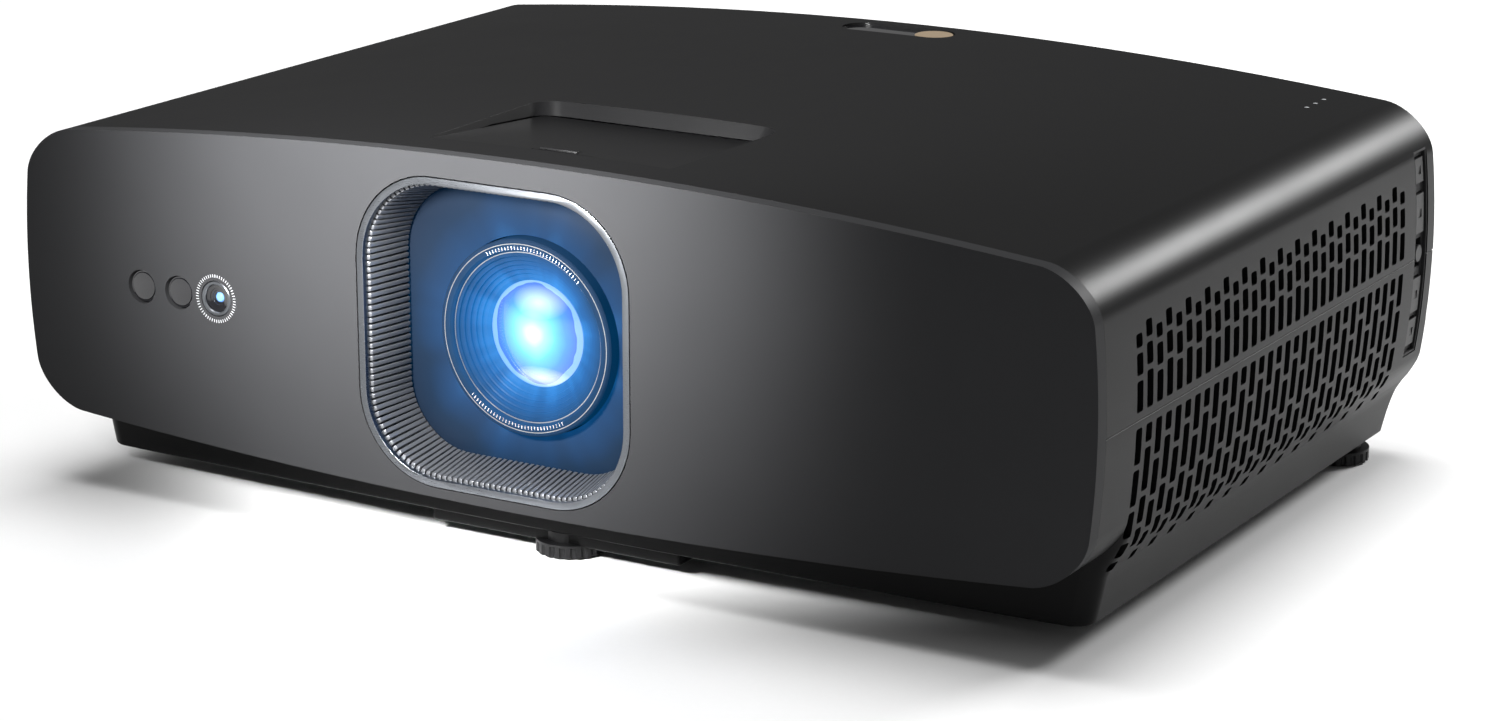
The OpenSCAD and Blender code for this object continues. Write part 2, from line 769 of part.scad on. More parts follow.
module lens_mount() {
    color("#6b6d70") difference() {
        union() {
            block(lens_x - 60, lens_x + 60, mount_plate_y, engine_y0, floor_z, 124);
            for (s = [-1, 1], z = [[floor_z, 22], [118, 124]])
                block(lens_x + s * rod_gap - 5, lens_x + s * rod_gap + 5, rod_y_place - 5, mount_plate_y, z[0], z[1]);
            // arm that carries the height dial
            block(lens_x - 32, lens_x - 20, carriage_y0 - 8, mount_plate_y, 119, 121);
        }
        rod_y(lens_x, lens_z, barrel_r + 5, mount_plate_y - 1, engine_y0 + 1);
        for (s = [-1, 1]) post(lens_x + s * rod_gap, rod_y_place, rod_r, floor_z + 2, 200);
        post(lens_x - 26, carriage_y0 - 2, 2 + run_gap, 110, 130);
    }
}

module shift_rods() {
    color("#b8bcc0") for (s = [-1, 1]) post(lens_x + s * rod_gap, rod_y_place, rod_r, floor_z + 2, 123);
}

module shift_frame() {
    color("#54565a") difference() {
        union() {
            block(lens_x - rod_gap - 5, lens_x + rod_gap + 5, frame_y0, mount_plate_y - 0.5, lens_z - 12, lens_z + 12);
            block(lens_x - frame_half, lens_x + frame_half, frame_y0, mount_plate_y - 0.5,
                lens_z - frame_half, lens_z + frame_half);
            // lips that the carriage slides between
            for (s = [-1, 1]) block(lens_x - frame_half, lens_x + frame_half, carriage_y0, frame_y0,
                lens_z + (s > 0 ? frame_half - 2.5 : -frame_half), lens_z + (s > 0 ? frame_half : -frame_half + 2.5));
            block(lens_x + 20, lens_x + 32, carriage_y0 - 8, frame_y0 + 1, lens_z + frame_half, lens_z + frame_half + 2);
        }
        rod_y(lens_x, lens_z, barrel_r + 2.2, carriage_y0 - 1, mount_plate_y);
        for (s = [-1, 1]) post(lens_x + s * rod_gap, rod_y_place, rod_r + run_gap, lens_z - 20, lens_z + 20);
        post(lens_x + 26, carriage_y0 - 2, 2 + run_gap, lens_z, lens_z + frame_half + 5);
    }
}

module lens_carriage() {
    color("#47494c") difference() {
        union() {
            block(lens_x - frame_half + 3, lens_x + frame_half - 3, carriage_y0, frame_y0 - 0.1,
                lens_z - frame_half + 2.55, lens_z + frame_half - 2.55);
            // arms that carry the shroud
            for (s = [-1, 1]) block(lens_x + s * arm_x - arm_t / 2, lens_x + s * arm_x + arm_t / 2,
                shroud_y + shroud_t, frame_y0 - 0.1, lens_z - 6, lens_z + 6);
            for (s = [-1, 1]) block(lens_x + min(s * (ring_r - 3), s * (arm_x + arm_t / 2)),
                lens_x + max(s * (ring_r - 3), s * (arm_x + arm_t / 2)),
                carriage_y0, frame_y0 - 0.1, lens_z - 6, lens_z + 6);
        }
        rod_y(lens_x, lens_z, barrel_r, carriage_y0 - 1, frame_y0);
    }
}

module lens_shroud() {
    color("#0d0d0f") difference() {
        translate([funnel_x, 0, funnel_z]) along_y(shroud_y, shroud_y + shroud_t)
            polygon(round_rect(funnel_in_w - 2 * funnel_taper + 2 * shift_v + 1, funnel_in_h - 2 * funnel_taper + 2 * shift_v + 1, 24));
        rod_y(lens_x, lens_z, lens_ring_r + 0.4, shroud_y - 1, shroud_y + shroud_t + 1);
    }
}

module lens_barrel() {
    color("#1a1b1d") difference() {
        rod_y(lens_x, lens_z, barrel_r, barrel_front, barrel_rear);
        rod_y(lens_x, lens_z, barrel_r - barrel_wall, barrel_front - 1, barrel_rear + 1);
    }
}

module grip_ring(y0, y1, teeth) {
    difference() {
        rod_y(lens_x, lens_z, ring_r, y0, y1);
        rod_y(lens_x, lens_z, barrel_r + run_gap, y0 - 1, y1 + 1);
        for (i = [0:teeth - 1]) translate([lens_x, 0, lens_z]) rotate([0, i * 360 / teeth, 0])
            block(ring_r - 0.9, ring_r + 1, y0 + 2, y1 - 2, -0.9, 0.9);
    }
}

module focus_ring() {
    color("#161617") grip_ring(focus_y0, focus_y1, 36);
}

module zoom_ring() {
    color("#161617") union() {
        grip_ring(zoom_y0, zoom_y1, 36);
        translate([lens_x, 0, lens_z]) rotate([0, 12, 0])
            block(-3, 3, (zoom_y0 + zoom_y1) / 2 - 3, (zoom_y0 + zoom_y1) / 2 + 3, ring_r - 1.5, ring_r + 7);
    }
}

module about_lens() {
    translate([lens_x, 0, lens_z]) rotate([-90, 0, 0]) children();
}

glass_y = ring_front + 8;
sleeve_r = barrel_r - barrel_wall - run_gap;

module lens_front_ring() {
    step = (29.5 - glass_r - 1.4) / 5;
    color("#131416") about_lens() rotate_extrude() polygon(concat(
        [[lens_ring_r, ring_front], [lens_ring_r, barrel_front - focus_travel - 0.4], [sleeve_r, barrel_front - focus_travel - 0.4],
         [sleeve_r, barrel_front + 8], [glass_r - 1, barrel_front + 8], [glass_r - 1, glass_y + 6],
         [glass_r, glass_y + 6], [glass_r, glass_y - 0.5]],
        [for (i = [0:4], k = [0, 1]) [glass_r + 1 + (i + k) * step, glass_y - 1 - i * 1.3]],
        [[29.5, ring_front + 1.2], [30.2, ring_front]]));
}

module front_lens() {
    color("#7fb4e6") about_lens() rotate_extrude() polygon(concat(
        [for (i = [0:8]) let(r = glass_r * i / 8) [r, glass_y - 3.2 * (1 - pow(i / 8, 2))]],
        [[glass_r, glass_y + 6], [0, glass_y + 6]]));
}

cell_r = sleeve_r - 0.05;
cell_y = zoom_y0 - 4;

module zoom_lens_cell() {
    color("#2b2c2f") about_lens() rotate_extrude() polygon([[22, cell_y], [cell_r, cell_y], [cell_r, cell_y + 10], [22, cell_y + 10]]);
    color("#9fc4e8") about_lens() rotate_extrude() polygon(concat(
        [for (i = [0:6]) let(r = 22 * i / 6) [r, cell_y + 3 - 2 * (1 - pow(i / 6, 2))]],
        [[22, cell_y + 7], [0, cell_y + 7]]));
}

module dial(x, z) {
    translate([x, carriage_y0 - 2, z]) difference() {
        union() {
            cylinder(r = dial_r, h = 6);
            translate([0, 0, -3]) cylinder(r = 2, h = 4);
        }
        for (i = [0:29]) rotate([0, 0, i * 12]) translate([dial_r, 0, -1]) cylinder(r = 0.6, h = 8, $fn = 16);
        translate([0, 0, 5.4]) cylinder(r = dial_r - 3, h = 1);
    }
}

module height_dial() {
    color("#1c1c1e") dial(lens_x - 26, 121.2);
}

module side_dial() {
    color("#1c1c1e") dial(lens_x + 26, lens_z + frame_half + 2.2);
}

// ---- light engine ----

module engine_housing() {
    color("#75787b") difference() {
        block(engine_x0, engine_x1, engine_y0, engine_y1, engine_z0, engine_z1);
        block(engine_x0 + engine_wall, engine_x1 - engine_wall, engine_y0 + engine_wall, engine_y1 - engine_wall,
            engine_z0 + engine_wall, engine_z1 + 1);
        rod_y(lens_x, lens_z, barrel_r + 5, engine_y0 - 1, engine_y0 + engine_wall + 1);
        for (p = led_spots) block(engine_x1 - engine_wall - 1, engine_x1 + 1, p[0] - 7, p[0] + 7, p[1] - 7, p[1] + 7);
        block(lens_x - 12, lens_x + 12, engine_y1 - engine_wall - 1, engine_y1 + 1, lens_z - 8, lens_z + 8);
    }
}

module engine_cover() {
    color("#808386") difference() {
        block(engine_x0, engine_x1, engine_y0, engine_y1, engine_z1, engine_z1 + 3);
        for (x = [engine_x0 + 8, engine_x1 - 8], y = [engine_y0 + 8, engine_y1 - 8]) post(x, y, 1.6, engine_z1 - 1, engine_z1 + 4);
    }
}

module prism() {
    color("#cfe6f5") {
        translate([lens_x, 0, lens_z - 14]) linear_extrude(height = 28)
            polygon([[-14, engine_y1 - engine_wall - 1], [14, engine_y1 - engine_wall - 1], [14, engine_y1 - engine_wall - 29]]);
        translate([lens_x, 0, lens_z - 14]) linear_extrude(height = 28)
            polygon([[-14.4, engine_y1 - engine_wall - 1.8], [-14.4, engine_y1 - engine_wall - 29.8], [13.6, engine_y1 - engine_wall - 29.8]]);
    }
}

module lens_disc(x, y, z, r, t) {
    translate([x, y, z]) rotate([0, 90, 0]) rotate_extrude() polygon(concat(
        [for (i = [0:5]) [r * i / 5, -t / 2 - 2 * (1 - pow(i / 5, 2))]],
        [for (i = [5:-1:0]) [r * i / 5, t / 2 + 2 * (1 - pow(i / 5, 2))]]));
}

module condenser_lenses() {
    color("#bcd9ee") {
        for (p = led_spots) lens_disc(engine_x1 - engine_wall - 6, p[0], p[1], 8, 2);
        lens_disc(lens_x + 24, engine_y1 - 17, lens_z, 9, 2);
    }
}

module dichroic_mirrors() {
    color("#b9a7d8") for (p = led_spots)
        translate([engine_x1 - 24, p[0], p[1]]) rotate([0, 0, 45]) cube([22, 1.2, 18], center = true);
}

module led_modules() {
    color("#d7c58c") for (p = led_spots) {
        block(engine_x1, engine_x1 + led_t - 2, p[0] - 12, p[0] + 12, p[1] - 12, p[1] + 12);
        block(engine_x1 + led_t - 2, engine_x1 + led_t, p[0] - 9, p[0] + 9, p[1] - 9, p[1] + 9);
    }
}

module heat_sinks() {
    count = floor((sink_x1 - sink_x0) / 3.2);
    color("#c3c6c9") {
        for (i = [0:count - 1])
            block(sink_x0 + i * 3.2, sink_x0 + i * 3.2 + 0.8, intake_y - 50, intake_y + 50, engine_z0, 106);
        // heat pipes that join the light modules to the fins
        for (p = led_spots) rod_x(p[0], p[1], pipe_r, engine_x1 + led_t, sink_x1 - 2);
    }
}

module dmd_board() {
    color("#1f5b3a") {
        block(lens_x - 30, lens_x + 30, engine_y1 + 4, engine_y1 + 4 + board_t, lens_z - 27, lens_z + 27);
        block(lens_x - 14, lens_x + 14, engine_y1, engine_y1 + 4, lens_z - 10, lens_z + 10);
    }
}

module dmd_heat_sink() {
    y = engine_y1 + 4 + board_t;
    color("#c3c6c9") {
        block(lens_x - 22, lens_x + 22, y, y + 4, lens_z - 20, lens_z + 20);
        for (i = [0:8]) block(lens_x - 22 + i * 5.3, lens_x - 22 + i * 5.3 + 1.6, y + 4, y + 20, lens_z - 20, lens_z + 20);
    }
}

// ---- electronics ----

hdmi_spots = [-70, -48, -26];
usb_spots = [-4, 15];
jack_spots = [32, 45];
serial_x = 74;
inlet_x = half_w - 50;
inlet_z = 42;

module main_board() {
    color("#1d5435") {
        block(board_x0, board_x1, board_y, board_y + board_t, 30, 88);
        // processor under its heat spreader, and memory
        block(-20, 20, board_y - 8, board_y, 62, 84);
        for (i = [0:3]) block(30 + i * 16, 42 + i * 16, board_y - 1.4, board_y, 66, 76);
        for (i = [0:5]) translate([-70 + i * 8, board_y, 70]) rotate([90, 0, 0]) cylinder(r = 3, h = 9);
    }
}

module rear_sockets() {
    y0 = board_y + board_t;
    y1 = panel_back - 0.2;
    color("#a9adb0") {
        for (x = hdmi_spots) difference() {
            block(x - 8, x + 8, y0, y1, socket_z - 3.6, socket_z + 3.6);
            block(x - 7, x + 7, y0 + 4, y1 + 1, socket_z - 2.3, socket_z + 2.3);
        }
        for (x = hdmi_spots) block(x - 5.5, x + 5.5, y0 + 4, y1 - 2, socket_z - 0.4, socket_z + 0.4);
        for (x = usb_spots) difference() {
            block(x - 7.5, x + 7.5, y0, y1, socket_z - 4, socket_z + 4);
            block(x - 6.2, x + 6.2, y0 + 2, y1 + 1, socket_z - 2.6, socket_z + 2.6);
        }
        for (x = usb_spots) block(x - 5, x + 5, y0 + 2, y1 - 1.5, socket_z + 0.2, socket_z + 2);
        for (x = jack_spots) difference() {
            rod_y(x, socket_z, 4, y0, y1);
            rod_y(x, socket_z, 1.8, y0 + 2, y1 + 1);
        }
        difference() {
            block(serial_x - 15.5, serial_x + 15.5, y0, y1, socket_z - 6, socket_z + 6);
            block(serial_x - 8.5, serial_x + 8.5, y0 + 6, y1 + 1, socket_z - 4, socket_z + 4);
        }
    }
}

module power_inlet() {
    y0 = panel_back - 22;
    y1 = panel_back;
    color("#0f0f10") difference() {
        block(-inlet_x - 14, -inlet_x + 14, y0, y1, inlet_z - 10, inlet_z + 10);
        block(-inlet_x - 12, -inlet_x + 12, y0 + 4, y1 + 1, inlet_z - 8, inlet_z + 8);
    }
    color("#c9a24a") for (x = [-7, 0, 7])
        block(-inlet_x + x - 1, -inlet_x + x + 1, y0 + 4, y0 + 17, inlet_z - (x == 0 ? 5 : 1), inlet_z - (x == 0 ? 1 : -3));
}

module power_board() {
    color("#7a5b2c") {
        block(power_x0, power_x1, power_y0, power_y1, power_z, power_z + board_t);
        for (i = [0:2]) post(power_x0 + 12 + i * 14, power_y0 + 12, 6, power_z + board_t, power_z + 26);
        block(power_x0 + 10, power_x0 + 40, power_y0 + 28, power_y0 + 58, power_z + board_t, power_z + 28);
        block(power_x1 - 12, power_x1 - 8, power_y0 + 8, power_y0 + 68, power_z + board_t, power_z + 34);
    }
}

module speaker_boxes() {
    color("#19191a") for (s = [-1, 1]) difference() {
        block(s * speaker_x - speaker_w / 2, s * speaker_x + speaker_w / 2, speaker_y1 - speaker_d, speaker_y1,
            speaker_z, speaker_z + speaker_h);
        rod_y(s * speaker_x, speaker_z + speaker_h / 2, cone_r + 0.1, speaker_y1 - speaker_d + 3, speaker_y1 + 1);
    }
}

module speaker_cones() {
    color("#2c2c2e") for (s = [-1, 1]) translate([s * speaker_x, speaker_y1 - 1, speaker_z + speaker_h / 2])
        rotate([90, 0, 0]) rotate_extrude() polygon([[0, 7], [5, 8.5], [6, 9.5], [15, 1.2], [17, 0], [cone_r, 0],
            [cone_r, 1.5], [16.5, 2.5], [7, 11.5], [7, 22], [0, 22]]);
}

module fan_frame(y) {
    difference() {
        translate([0, y - fan_s / 2, fan_z0]) cube([fan_d, fan_s, fan_s]);
        rod_x(y, fan_z, fan_s / 2 - 2, -1, fan_d + 1);
        for (sy = [-1, 1], sz = [-1, 1]) rod_x(y + sy * (fan_s / 2 - 4.5), fan_z + sz * (fan_s / 2 - 4.5), 2.1, -1, fan_d + 1);
    }
    rod_x(y, fan_z, 12, 0, 3);
    for (a = [0:120:240]) translate([0, y, fan_z]) rotate([a + 15, 0, 0])
        block(0, 3, 11, fan_s / 2 - 1.9, -1.5, 1.5);
    rod_x(y, fan_z, 2, 2.9, fan_d - 8);
}

module fan_frames() {
    color("#141415") {
        for (y = [fan_front_y, fan_rear_y]) translate([exhaust_x0, 0, 0]) fan_frame(y);
        translate([intake_x1, 0, 0]) mirror([1, 0, 0]) fan_frame(intake_y);
    }
}

module fan_rotor(y) {
    blades = 7;
    difference() {
        union() {
            rod_x(y, fan_z, 13, 3.6, fan_d - 3);
            for (i = [0:blades - 1]) translate([fan_d / 2 + 1, y, fan_z]) rotate([i * 360 / blades, 0, 0])
                translate([0, fan_s / 4 + 3, 0]) rotate([0, 40, 0]) cube([1.6, fan_s / 2 - 14, 14], center = true);
        }
        rod_x(y, fan_z, 2 + run_gap, 3, fan_d - 7.5);
    }
}

module exhaust_rotor_front() {
    color("#222224") translate([exhaust_x0, 0, 0]) fan_rotor(fan_front_y);
}

module exhaust_rotor_rear() {
    color("#222224") translate([exhaust_x0, 0, 0]) fan_rotor(fan_rear_y);
}

module intake_rotor() {
    color("#222224") translate([intake_x1, 0, 0]) mirror([1, 0, 0]) fan_rotor(intake_y);
}

// ---- keypad ----

key_spans = [[105, 114], [86.5, 101], [57, 70], [44.5, 54.5]];
nav_span = [74, 84];

// All that lies inside the bowed side, inset by e, over the keypad's height
module under_side(e) {
    along_y(keypad_y0 - 1, keypad_y1 + 1) polygon(concat(
        [for (i = [0:12]) let(z = pad_low - 1 + (pad_high - pad_low + 2) * i / 12) [side_x(z, e), z]],
        [[half_w - 24, pad_high + 1], [half_w - 24, pad_low - 1]]
    ));
}

module keypad_bezel() {
    x0 = pad_face - keypad_depth;
    color("#1a1a1b") difference() {
        intersection() {
            block(x0, half_w, keypad_y0, keypad_y1, pad_low, pad_high);
            under_side(0.3);
        }
        difference() {
            block(pad_face, half_w + 1, keypad_y0 + 0.9, keypad_y1 - 0.9, pad_low + 0.9, pad_high - 0.9);
            under_side(pad_floor_inset);
        }
        for (k = concat(key_spans, [nav_span])) {
            block(x0 - 1, half_w, key_y - key_w / 2 - gap, key_y + key_w / 2 + gap, k[0] - gap, k[1] + gap);
            block(x0 - 1, pad_face - 1.5, key_y - key_w / 2 - 1.2, key_y + key_w / 2 + 1.2, k[0] - 1.2, k[1] + 1.2);
        }
    }
}

switch_r = 2.4;
switch_gap = 0.2;

module keypad_board() {
    x0 = pad_face - keypad_depth;
    color("#1d5435") {
        block(x0 - pad_board_t, x0, keypad_y0, keypad_y1, pad_low, pad_high);
        // a switch behind each key
        for (k = key_spans)
            rod_x(key_y, (k[0] + k[1]) / 2, switch_r, x0, pad_face - key_flange_back - key_travel - switch_gap);
    }
}

module key(span) {
    mid = (span[0] + span[1]) / 2;
    difference() {
        union() {
            intersection() {
                block(pad_face - 1.6, half_w, key_y - key_w / 2, key_y + key_w / 2, span[0], span[1]);
                under_side(key_inset);
            }
            block(pad_face - key_flange_back, pad_face - 1.5, key_y - key_w / 2 - 0.8, key_y + key_w / 2 + 0.8,
                span[0] - 0.8, span[1] + 0.8);
        }
        block(side_x(mid, key_inset) - 0.3, half_w, key_y - 1.5, key_y + 1.5, mid - 1.5, mid + 1.5);
    }
}

module power_key() {
    color("#2a2a2c") key(key_spans[0]);
}

module menu_key() {
    color("#2a2a2c") key(key_spans[1]);
}

module back_key() {
    color("#2a2a2c") key(key_spans[2]);
}

module source_key() {
    color("#2a2a2c") key(key_spans[3]);
}

module nav_stick() {
    z = (nav_span[0] + nav_span[1]) / 2;
    color("#39393b") {
        rod_x(key_y, z, 2.4, pad_face - 3, pad_face + 2.4);
        rod_x(key_y, z, 3.2, pad_face + 2.4, side_x(z, key_inset));
    }
}

// ---- feet ----

// Rubber sole: it stays still on the table while the screw turns on its pin
module foot_sole(p) {
    color("#2b2b2b") {
        post(p[0], p[1], sole_r, 0, sole_t);
        post(p[0], p[1], sole_pin_r, sole_t - 0.1, sole_pin_top);
    }
}

// Knurled disc, collar and threaded stud in one piece
module foot_screw(p) {
    color("#161617") difference() {
        union() {
            post(p[0], p[1], foot_r, sole_t / 2, foot_disc_t);
            post(p[0], p[1], foot_r - 3.2, foot_disc_t - 0.1, foot_collar_z);
            post(p[0], p[1], stud_r, foot_collar_z - 0.1, stud_top);
        }
        post(p[0], p[1], sole_r + run_gap, 0, sole_t + run_gap);
        post(p[0], p[1], sole_pin_r + run_gap, 0, sole_pin_top + 0.3);
        for (i = [0:19]) translate([p[0], p[1], 0]) rotate([0, 0, i * 18]) translate([foot_r + 0.4, 0, 0])
            cylinder(r = 1.1, h = foot_disc_t - 0.9, $fn = 16);
    }
}

top_cover();
bottom_case();
vent_grilles();
front_fascia();
rear_panel();
lens_bezel();
lens_funnel();
lens_door();
ir_windows();
camera_ring();
camera_eye();
top_sensor_window();
badge_disc();
status_lights();
case_screws();
lens_mount();
shift_rods();
shift_frame();
lens_carriage();
lens_shroud();
lens_barrel();
focus_ring();
zoom_ring();
lens_front_ring();
front_lens();
zoom_lens_cell();
height_dial();
side_dial();
engine_housing();
engine_cover();
prism();
condenser_lenses();
dichroic_mirrors();
led_modules();
heat_sinks();
dmd_board();
dmd_heat_sink();
main_board();
rear_sockets();
power_inlet();
power_board();
speaker_boxes();
speaker_cones();
fan_frames();
exhaust_rotor_front();
exhaust_rotor_rear();
intake_rotor();
keypad_bezel();
keypad_board();
power_key();
menu_key();
back_key();
source_key();
nav_stick();
foot_sole(foot_spots[0]);  // front_foot_sole
foot_screw(foot_spots[0]);  // front_foot_screw
foot_sole(foot_spots[1]);  // right_foot_sole
foot_screw(foot_spots[1]);  // right_foot_screw
foot_sole(foot_spots[2]);  // left_foot_sole
foot_screw(foot_spots[2]);  // left_foot_screw
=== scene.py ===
"""Home projector: shells, lens, door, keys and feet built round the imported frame, and a pale studio."""
import json
import logging
import math
from collections.abc import Callable, Iterable, Sequence
from dataclasses import dataclass, field
from enum import Enum

import bpy
from mathutils import Matrix, Vector


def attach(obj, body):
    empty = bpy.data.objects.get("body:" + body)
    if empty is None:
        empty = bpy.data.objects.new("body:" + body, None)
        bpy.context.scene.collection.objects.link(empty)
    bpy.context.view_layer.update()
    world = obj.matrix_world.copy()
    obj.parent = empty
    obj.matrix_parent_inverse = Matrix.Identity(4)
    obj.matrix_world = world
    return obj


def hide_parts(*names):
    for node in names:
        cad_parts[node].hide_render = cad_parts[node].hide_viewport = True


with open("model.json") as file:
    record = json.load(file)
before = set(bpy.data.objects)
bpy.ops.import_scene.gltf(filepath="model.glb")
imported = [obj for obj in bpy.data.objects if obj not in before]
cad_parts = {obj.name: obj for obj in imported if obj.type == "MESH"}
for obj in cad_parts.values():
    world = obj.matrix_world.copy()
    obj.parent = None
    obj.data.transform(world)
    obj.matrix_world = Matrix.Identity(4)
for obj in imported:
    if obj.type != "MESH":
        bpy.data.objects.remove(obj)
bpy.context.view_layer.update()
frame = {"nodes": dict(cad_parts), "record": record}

logging.basicConfig(level=logging.INFO, format="%(message)s")
log = logging.getLogger("projector")

MM = 0.001
Flat = tuple[float, float]
Point = tuple[float, float, float]
Segment = tuple[Flat, Flat, Flat, Flat]
Piece = bpy.types.Object
Socket = bpy.types.NodeSocket
SMOOTH_ANGLE = math.radians(30)
CASE = "case"
FAR = 0.5  # past every side of the projector, in metres
BODY_OF = {node: body for body, nodes in frame["record"]["behaviour"]["bodies"].items() for node in nodes}
SLOT_OF = {part["node"]: part["material_slot"] for part in frame["record"]["subparts"]}


# ---------------------------------------------------------------- finishes


class Grain(Enum):
    """The fine relief of a surface."""

    MOULDED = "moulded"
    BRUSHED = "brushed"
    CAST = "cast"
    SMOOTH = "smooth"
    BOARD = "board"


class Nodes:
    """A small writer of one material's node tree."""

    def __init__(self, name: str) -> None:
        """Starts a material of that name with only its shader."""
        self.material = bpy.data.materials.new(name)
        self.material.use_nodes = True
        self.tree = self.material.node_tree
        self.shader = self.tree.nodes["Principled BSDF"]

    def add(self, kind: str, **values: object) -> bpy.types.Node:
        """Adds a node.

        Args:
            kind: the node's type name.
            values: its settings, or its input sockets' values with their names in lower case.

        Returns:
            The new node.
        """
        node = self.tree.nodes.new(kind)
        sockets = {s.name.lower().replace(" ", "_"): s for s in node.inputs}
        for key, value in values.items():
            if hasattr(node, key):
                setattr(node, key, value)
            else:
                sockets[key].default_value = value
        return node

    def link(self, source: Socket, target: Socket) -> None:
        """Joins an output to an input."""
        self.tree.links.new(source, target)

    def place(self, scale: Point, shift: Point = (0, 0, 0)) -> Socket:
        """Gives the object's own coordinates, scaled.

        Args:
            scale: how often the pattern repeats in a metre, along each axis.
            shift: the point that becomes the pattern's centre, in metres.

        Returns:
            The socket that holds the coordinates.
        """
        coordinates = self.add("ShaderNodeTexCoord")
        mapping = self.add("ShaderNodeMapping", vector_type="POINT")
        mapping.inputs["Scale"].default_value = scale
        mapping.inputs["Location"].default_value = [-s * k for s, k in zip(shift, scale)]
        self.link(coordinates.outputs["Object"], mapping.inputs["Vector"])
        return mapping.outputs["Vector"]

    def ramp(self, source: Socket, stops: Sequence[tuple[float, Point]]) -> bpy.types.Node:
        """Turns a value into a colour.

        Args:
            source: the value.
            stops: places from 0 to 1, each with its colour.

        Returns:
            The colour ramp.
        """
        ramp = self.add("ShaderNodeValToRGB")
        marks = ramp.color_ramp.elements
        while len(marks) < len(stops):
            marks.new(0.5)
        for mark, (place, colour) in zip(marks, stops):
            mark.position = place
            mark.color = (*colour, 1)
        self.link(source, ramp.inputs["Fac"])
        return ramp


@dataclass(frozen=True)
class Finish:
    """A surface finish: its colour, its gloss and its fine relief.

    grain_size is in millimetres, and relief is the height of the grain in millimetres.
    """

    slot: str
    colour: Point
    roughness: float = 0.5
    metallic: float = 0.0
    coat: float = 0.0
    coat_roughness: float = 0.15
    specular: float = 0.5
    grain: Grain = Grain.MOULDED
    grain_size: float = 0.5
    relief: float = 0.02
    variation: float = 0.12
    rough_variation: float = 0.06
    transmission: float = 0.0

    def material(self) -> bpy.types.Material:
        """Gives the finish's material, which is made once."""
        name = f"finish_{self.slot}"
        if name in bpy.data.materials:
            return bpy.data.materials[name]
        nodes = Nodes(name)
        inputs = nodes.shader.inputs
        inputs["Metallic"].default_value = self.metallic
        inputs["Coat Weight"].default_value = self.coat
        inputs["Coat Roughness"].default_value = self.coat_roughness
        inputs["Specular IOR Level"].default_value = self.specular
        inputs["Transmission Weight"].default_value = self.transmission
        pitch = 1 / (self.grain_size * MM)
        stretch = {Grain.BRUSHED: (0.04, 1, 1)}.get(self.grain, (1, 1, 1))
        where = nodes.place(tuple(pitch * s for s in stretch))
        if self.grain is Grain.BOARD:
            fine = nodes.add("ShaderNodeTexVoronoi", distance="MANHATTAN", scale=1.0)
            level = fine.outputs["Distance"]
        else:
            fine = nodes.add("ShaderNodeTexNoise", scale=1.0, detail=3.0 if self.grain is Grain.CAST else 2.0)
            level = fine.outputs["Fac"]
        nodes.link(where, fine.inputs["Vector"])
        broad = nodes.add("ShaderNodeTexNoise", scale=22.0, detail=2.0)
        nodes.link(nodes.place((1, 1, 1)), broad.inputs["Vector"])
        mix = nodes.add("ShaderNodeMath", operation="MULTIPLY_ADD")
        mix.inputs[1].default_value = 0.5
        nodes.link(broad.outputs["Fac"], mix.inputs[0])
        half = nodes.add("ShaderNodeMath", operation="MULTIPLY")
        half.inputs[1].default_value = 0.5
        nodes.link(level, half.inputs[0])
        nodes.link(half.outputs["Value"], mix.inputs[2])
        low = tuple(c * (1 - self.variation) for c in self.colour)
        high = tuple(min(1, c * (1 + self.variation)) for c in self.colour)
        ramp = nodes.ramp(mix.outputs["Value"], [(0.3, low), (0.7, high)])
        nodes.link(ramp.outputs["Color"], inputs["Base Color"])
        rough = nodes.add("ShaderNodeMapRange")
        rough.inputs["To Min"].default_value = max(0.02, self.roughness - self.rough_variation)
        rough.inputs["To Max"].default_value = min(1, self.roughness + self.rough_variation)
        nodes.link(mix.outputs["Value"], rough.inputs["Value"])
        nodes.link(rough.outputs["Result"], inputs["Roughness"])
        if self.relief > 0:
            bump = nodes.add("ShaderNodeBump", strength=1.0, distance=self.relief * MM)
            nodes.link(level, bump.inputs["Height"])
            nodes.link(bump.outputs["Normal"], inputs["Normal"])
        return nodes.material


